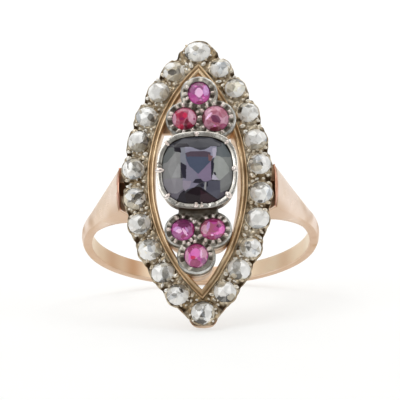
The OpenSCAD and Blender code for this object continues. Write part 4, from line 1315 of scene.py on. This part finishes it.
# The painted reflections that show in the spinel: tone and corners of each patch, in pixels of the
# photograph. Later patches cover earlier ones.
SPINEL_PATCHES = [
    ("left", [(158, 130), (180, 130), (180, 178), (158, 178)]),
    ("left_low", [(158, 178), (183, 178), (183, 190), (176, 194), (158, 192)]),
    ("left_edge", [(165, 192), (176, 193), (184, 188), (178, 206), (165, 206)]),
    ("left_light", [(171, 177), (178, 163), (180, 165), (180, 177)]),
    ("left_high", [(158, 130), (178, 130), (176, 151), (166, 162), (158, 164)]),
    ("top", [(168, 147), (190, 147), (195, 148), (200, 149.5), (205, 149), (211, 146.5), (218, 148),
             (226, 149), (226, 130), (168, 130)]),
    ("right_top", [(216, 148), (222, 147), (222, 130), (238, 130), (238, 159), (224, 159.5), (216, 156)]),
    ("right_rim", [(220, 158), (238, 158), (238, 180), (228, 176), (226, 163)]),
    ("right", [(215, 156), (220, 157), (224, 160), (229, 168), (229.5, 173), (221, 181), (212, 180),
               (212, 171)]),
    ("right_low", [(220, 181), (229, 173), (238, 178), (232, 200), (218, 200)]),
    ("dusk", [(205, 181), (220, 181.5), (220, 193), (216, 200), (206, 193), (200, 188)]),
    ("plum", [(216, 199), (220, 193), (230, 190), (226, 204)]),
    ("frame_left", [(180, 147.5), (188, 147), (187, 163), (186, 166), (180, 162)]),
    ("frame", [(185, 147), (190, 147), (195, 148.5), (200, 150.5), (205, 150), (211, 147), (217, 147),
               (217, 152), (215, 158), (211, 160), (188, 166), (186, 158)]),
    ("pale", [(212.5, 149), (216.5, 148), (217, 152), (215.5, 158), (213, 158)]),
    ("lilac", [(186, 160), (198, 173), (202, 181), (194, 187), (184, 190), (182, 180)]),
    ("pale_lilac", [(182.5, 180), (191, 181), (189, 187), (184, 191), (182, 186)]),
    ("rose", [(196, 174), (211, 160), (211.5, 180), (205, 182), (200, 180)]),
    ("ink", [(173, 143), (187, 143.5), (190, 146.5), (180, 147.5), (181, 152.5), (174, 151)]),
    ("shield", [(185, 153), (190, 151.5), (205, 151.5), (211, 153), (210.5, 162), (198, 174), (189, 166),
                (186, 160)]),
    ("brown", [(185, 153), (190, 151.5), (205, 151.5), (211, 153), (209, 157.5), (190, 156.5), (187, 157)]),
    ("russet", [(208.5, 154.5), (213, 157), (211, 162), (208.5, 161)]),
    ("bar", [(180.5, 162), (186, 165.5), (185.5, 178.5), (182.5, 177.5), (180.5, 170)]),
    ("bar", [(211, 163), (212.5, 161), (214.3, 164), (213.5, 171), (211.8, 178.5), (211, 178)]),
    ("bar", [(213, 173), (215, 172.5), (216.5, 175.5), (214.5, 175.5)]),
    ("pale", [(212, 176), (213.5, 174.5), (219, 180.5), (211.8, 180)]),
    ("bar", [(192, 182.5), (195, 179), (200.5, 179), (203, 182), (198, 183.5)]),
    ("bar", [(199, 184.5), (202, 183), (204, 186), (201.5, 187.5)]),
    ("bar", [(205, 183.5), (208, 181.5), (207.5, 186.5), (205.5, 187)]),
    ("left_light", [(203.5, 189), (204.5, 182.5), (206, 182.5), (205.3, 190.5)]),
    ("night", [(184, 193), (191, 188.5), (196, 186.5), (200, 187), (204, 190), (218, 200.5), (214, 208),
               (176, 208), (174, 202)]),
    ("deep_plum", [(200, 190), (217, 200), (208, 208), (199, 208)]),
    ("ink", [(175, 201), (179, 193), (184, 189.5), (184, 194), (186, 206), (176, 206)]),
]
SPINEL_TONES = {
    "left": rgb(136, 136, 136), "left_low": rgb(136, 133, 139), "left_edge": rgb(104, 100, 110),
    "left_light": rgb(152, 152, 153), "left_high": rgb(104, 107, 107), "top": rgb(68, 68, 74),
    "right_top": rgb(98, 104, 107), "right_rim": rgb(128, 131, 129), "right": rgb(152, 155, 152),
    "right_low": rgb(122, 123, 123), "dusk": rgb(84, 84, 97), "plum": rgb(84, 80, 90),
    "frame_left": rgb(132, 134, 144), "frame": rgb(144, 142, 160), "pale": rgb(178, 172, 188),
    "lilac": rgb(128, 124, 142), "pale_lilac": rgb(150, 141, 156), "rose": rgb(130, 116, 141),
    "ink": rgb(36, 32, 40), "shield": rgb(78, 86, 106), "brown": rgb(86, 74, 86),
    "russet": rgb(122, 88, 90), "bar": rgb(46, 44, 56), "night": rgb(36, 28, 33),
    "deep_plum": rgb(54, 36, 44),
}
# the middle and the half sizes of the spinel in pixels of the photograph, and the height that they
# are for
SPINEL_PX, SPINEL_PX_N = (197.0, 170.0, 36.0, 33.5), 12.9
# the size of the painted triangles, and how light they are
PAINT_STEP, SPINEL_LIGHT = 0.07, 1.18


def inside_patch(x, y, outline):
    """which of the points are inside the outline"""
    inside = np.zeros(x.shape, bool)
    for (x0, y0), (x1, y1) in zip(outline, outline[1:] + outline[:1]):
        if y0 == y1:
            continue
        crosses = (y0 > y) != (y1 > y)
        inside ^= crosses & (x < x0 + (y - y0) * (x1 - x0) / (y1 - y0))
    return inside


def make_spinel():
    corners, facets, plain = mixed_cut(SPINEL_A, SPINEL_B, SPINEL_P, 0, SPINEL_CUT, random.Random(44))
    pts, faces, _ = split_facets(corners, facets, PAINT_STEP, plain)
    mid = pts[np.array(faces)].mean(axis=1)
    px, py, half_x, half_y = SPINEL_PX
    x = px + half_x * mid[:, 0] / SPINEL_A
    y = py - half_y * (mid[:, 1] + SEEN_UP * (mid[:, 2] - (SPINEL_PX_N - SPINEL_N))) / SPINEL_B
    tones_and_glints = np.tile(SPINEL_TONES["top"][:3], (len(faces), 1))
    for tone, outline in SPINEL_PATCHES:
        tones_and_glints[inside_patch(x, y, outline)] = SPINEL_TONES[tone][:3]
    pts = pts + np.array([SPINEL_U, SPINEL_V, SPINEL_N + STONE_GAP])
    build("spinel_cut", pts, faces, [SPINEL], ["spinel"], sharp=0, tones_and_glints=tones_and_glints * SPINEL_LIGHT)


def make_stage():
    m = Maker("floor_paper")
    m.link(m.mix(m.spread(m.noise(40, 3.0), 0.3, 0.7), rgb(172, 172, 171), rgb(169, 169, 168)),
           m.shader.inputs["Base Color"])
    m.shader.inputs["Roughness"].default_value = 0.9
    m.shader.inputs["Specular IOR Level"].default_value = 0.1
    m.shader.inputs["Emission Color"].default_value = (1, 1, 0.99, 1)
    m.shader.inputs["Emission Strength"].default_value = 0.61
    # a floor that bends up into a backdrop, in metres
    near, depth, bend, rise, half = -0.9, 0.45, 0.25, 0.9, 1.2
    profile = [(near, 0.0)]
    for a in np.linspace(0, math.pi / 2, 24):
        profile.append((depth + bend * math.sin(a), bend * (1 - math.cos(a))))
    profile.append((depth + bend, rise))
    verts, faces = [], []
    for y, z in profile:
        verts += [(-half, y, z), (half, y, z)]
    for i in range(len(profile) - 1):
        faces.append((2 * i, 2 * i + 1, 2 * i + 3, 2 * i + 2))
    mesh = bpy.data.meshes.new("floor")
    mesh.from_pydata(verts, [], faces)
    mesh.materials.append(m.material)
    mesh.shade_smooth()
    obj = bpy.data.objects.new("floor", mesh)
    bpy.context.scene.collection.objects.link(obj)


# the point that most lights are aimed at
MIDDLE = (0, -0.004, 0.011)
# name, place, point aimed at, size, power
LIGHTS = [
    ("key", (-0.16, -0.16, 0.24), MIDDLE, (0.22, 0.22), 0.30),
    ("right", (0.22, -0.10, 0.16), MIDDLE, (0.16, 0.20), 0.14),
    ("top", (0.0, 0.08, 0.30), MIDDLE, (0.36, 0.24), 0.34),
    ("backdrop", (0.0, 0.25, 0.55), (0.0, 0.70, 0.30), (0.9, 0.3), 3.0),
]


def make_lights():
    for name, place, aim, size, power in LIGHTS:
        data = bpy.data.lights.new(name, "AREA")
        data.shape = "RECTANGLE"
        data.size, data.size_y = size
        data.energy = power
        obj = bpy.data.objects.new(name, data)
        obj.location = place
        obj.rotation_mode = "QUATERNION"
        obj.rotation_quaternion = (Vector(aim) - Vector(place)).to_track_quat("-Z", "Y")
        bpy.context.scene.collection.objects.link(obj)
    studio = bpy.data.worlds.new("studio")
    studio.use_nodes = True
    bpy.context.scene.world = studio
    tree = studio.node_tree
    back = tree.nodes["Background"]
    coord = tree.nodes.new("ShaderNodeTexCoord")
    split = tree.nodes.new("ShaderNodeSeparateXYZ")
    front = tree.nodes.new("ShaderNodeMapRange")
    # the room is darker behind the camera and lighter over the ring
    front.inputs["From Min"].default_value = -1.0
    front.inputs["From Max"].default_value = 0.4
    front.inputs["To Min"].default_value = 0.30
    front.inputs["To Max"].default_value = 1.0
    tree.links.new(coord.outputs["Generated"], split.inputs[0])
    tree.links.new(split.outputs["Y"], front.inputs["Value"])
    tree.links.new(front.outputs["Result"], back.inputs["Color"])
    back.inputs["Strength"].default_value = 0.42


def make_camera():
    back = np.array([math.sin(SIDEWAYS) * math.cos(BELOW_HEAD), -math.sin(BELOW_HEAD),
                     math.cos(SIDEWAYS) * math.cos(BELOW_HEAD)])
    right = np.array([math.cos(SIDEWAYS), 0, -math.sin(SIDEWAYS)])
    up = np.cross(back, right)
    turn = world(np.stack([right, up, back])) - world(np.zeros(3))
    axes = Matrix([list(row / np.linalg.norm(row)) for row in turn]).transposed()
    data = bpy.data.cameras.new("camera")
    data.sensor_width = sensor = 36.0
    data.lens = sensor * PIXELS_PER_MM * DISTANCE / PICTURE
    data.shift_x = (PICTURE / 2 - TARGET_PX[0]) / PICTURE
    data.shift_y = (TARGET_PX[1] - PICTURE / 2) / PICTURE
    data.clip_start, data.clip_end = 0.01, 10.0
    obj = bpy.data.objects.new("camera", data)
    obj.rotation_mode = "QUATERNION"
    obj.rotation_quaternion = (axes @ Matrix.Rotation(-ROLL, 3, "Z")).to_quaternion()
    obj.location = Vector(world(np.array(TARGET) + back * DISTANCE))
    bpy.context.scene.collection.objects.link(obj)
    bpy.context.scene.camera = obj


make_camera()
make_stage()
make_lights()
make_hoop()
make_base()
make_border()
make_border_grains()
for trefoil, rubies in TREFOIL_SETS.items():
    make_trefoil(trefoil, rubies)
make_trefoil_grains()
make_collet()
make_claws()
make_backs()
make_diamonds()
make_rubies()
make_spinel()
bpy.context.scene.view_settings.view_transform = "Standard"
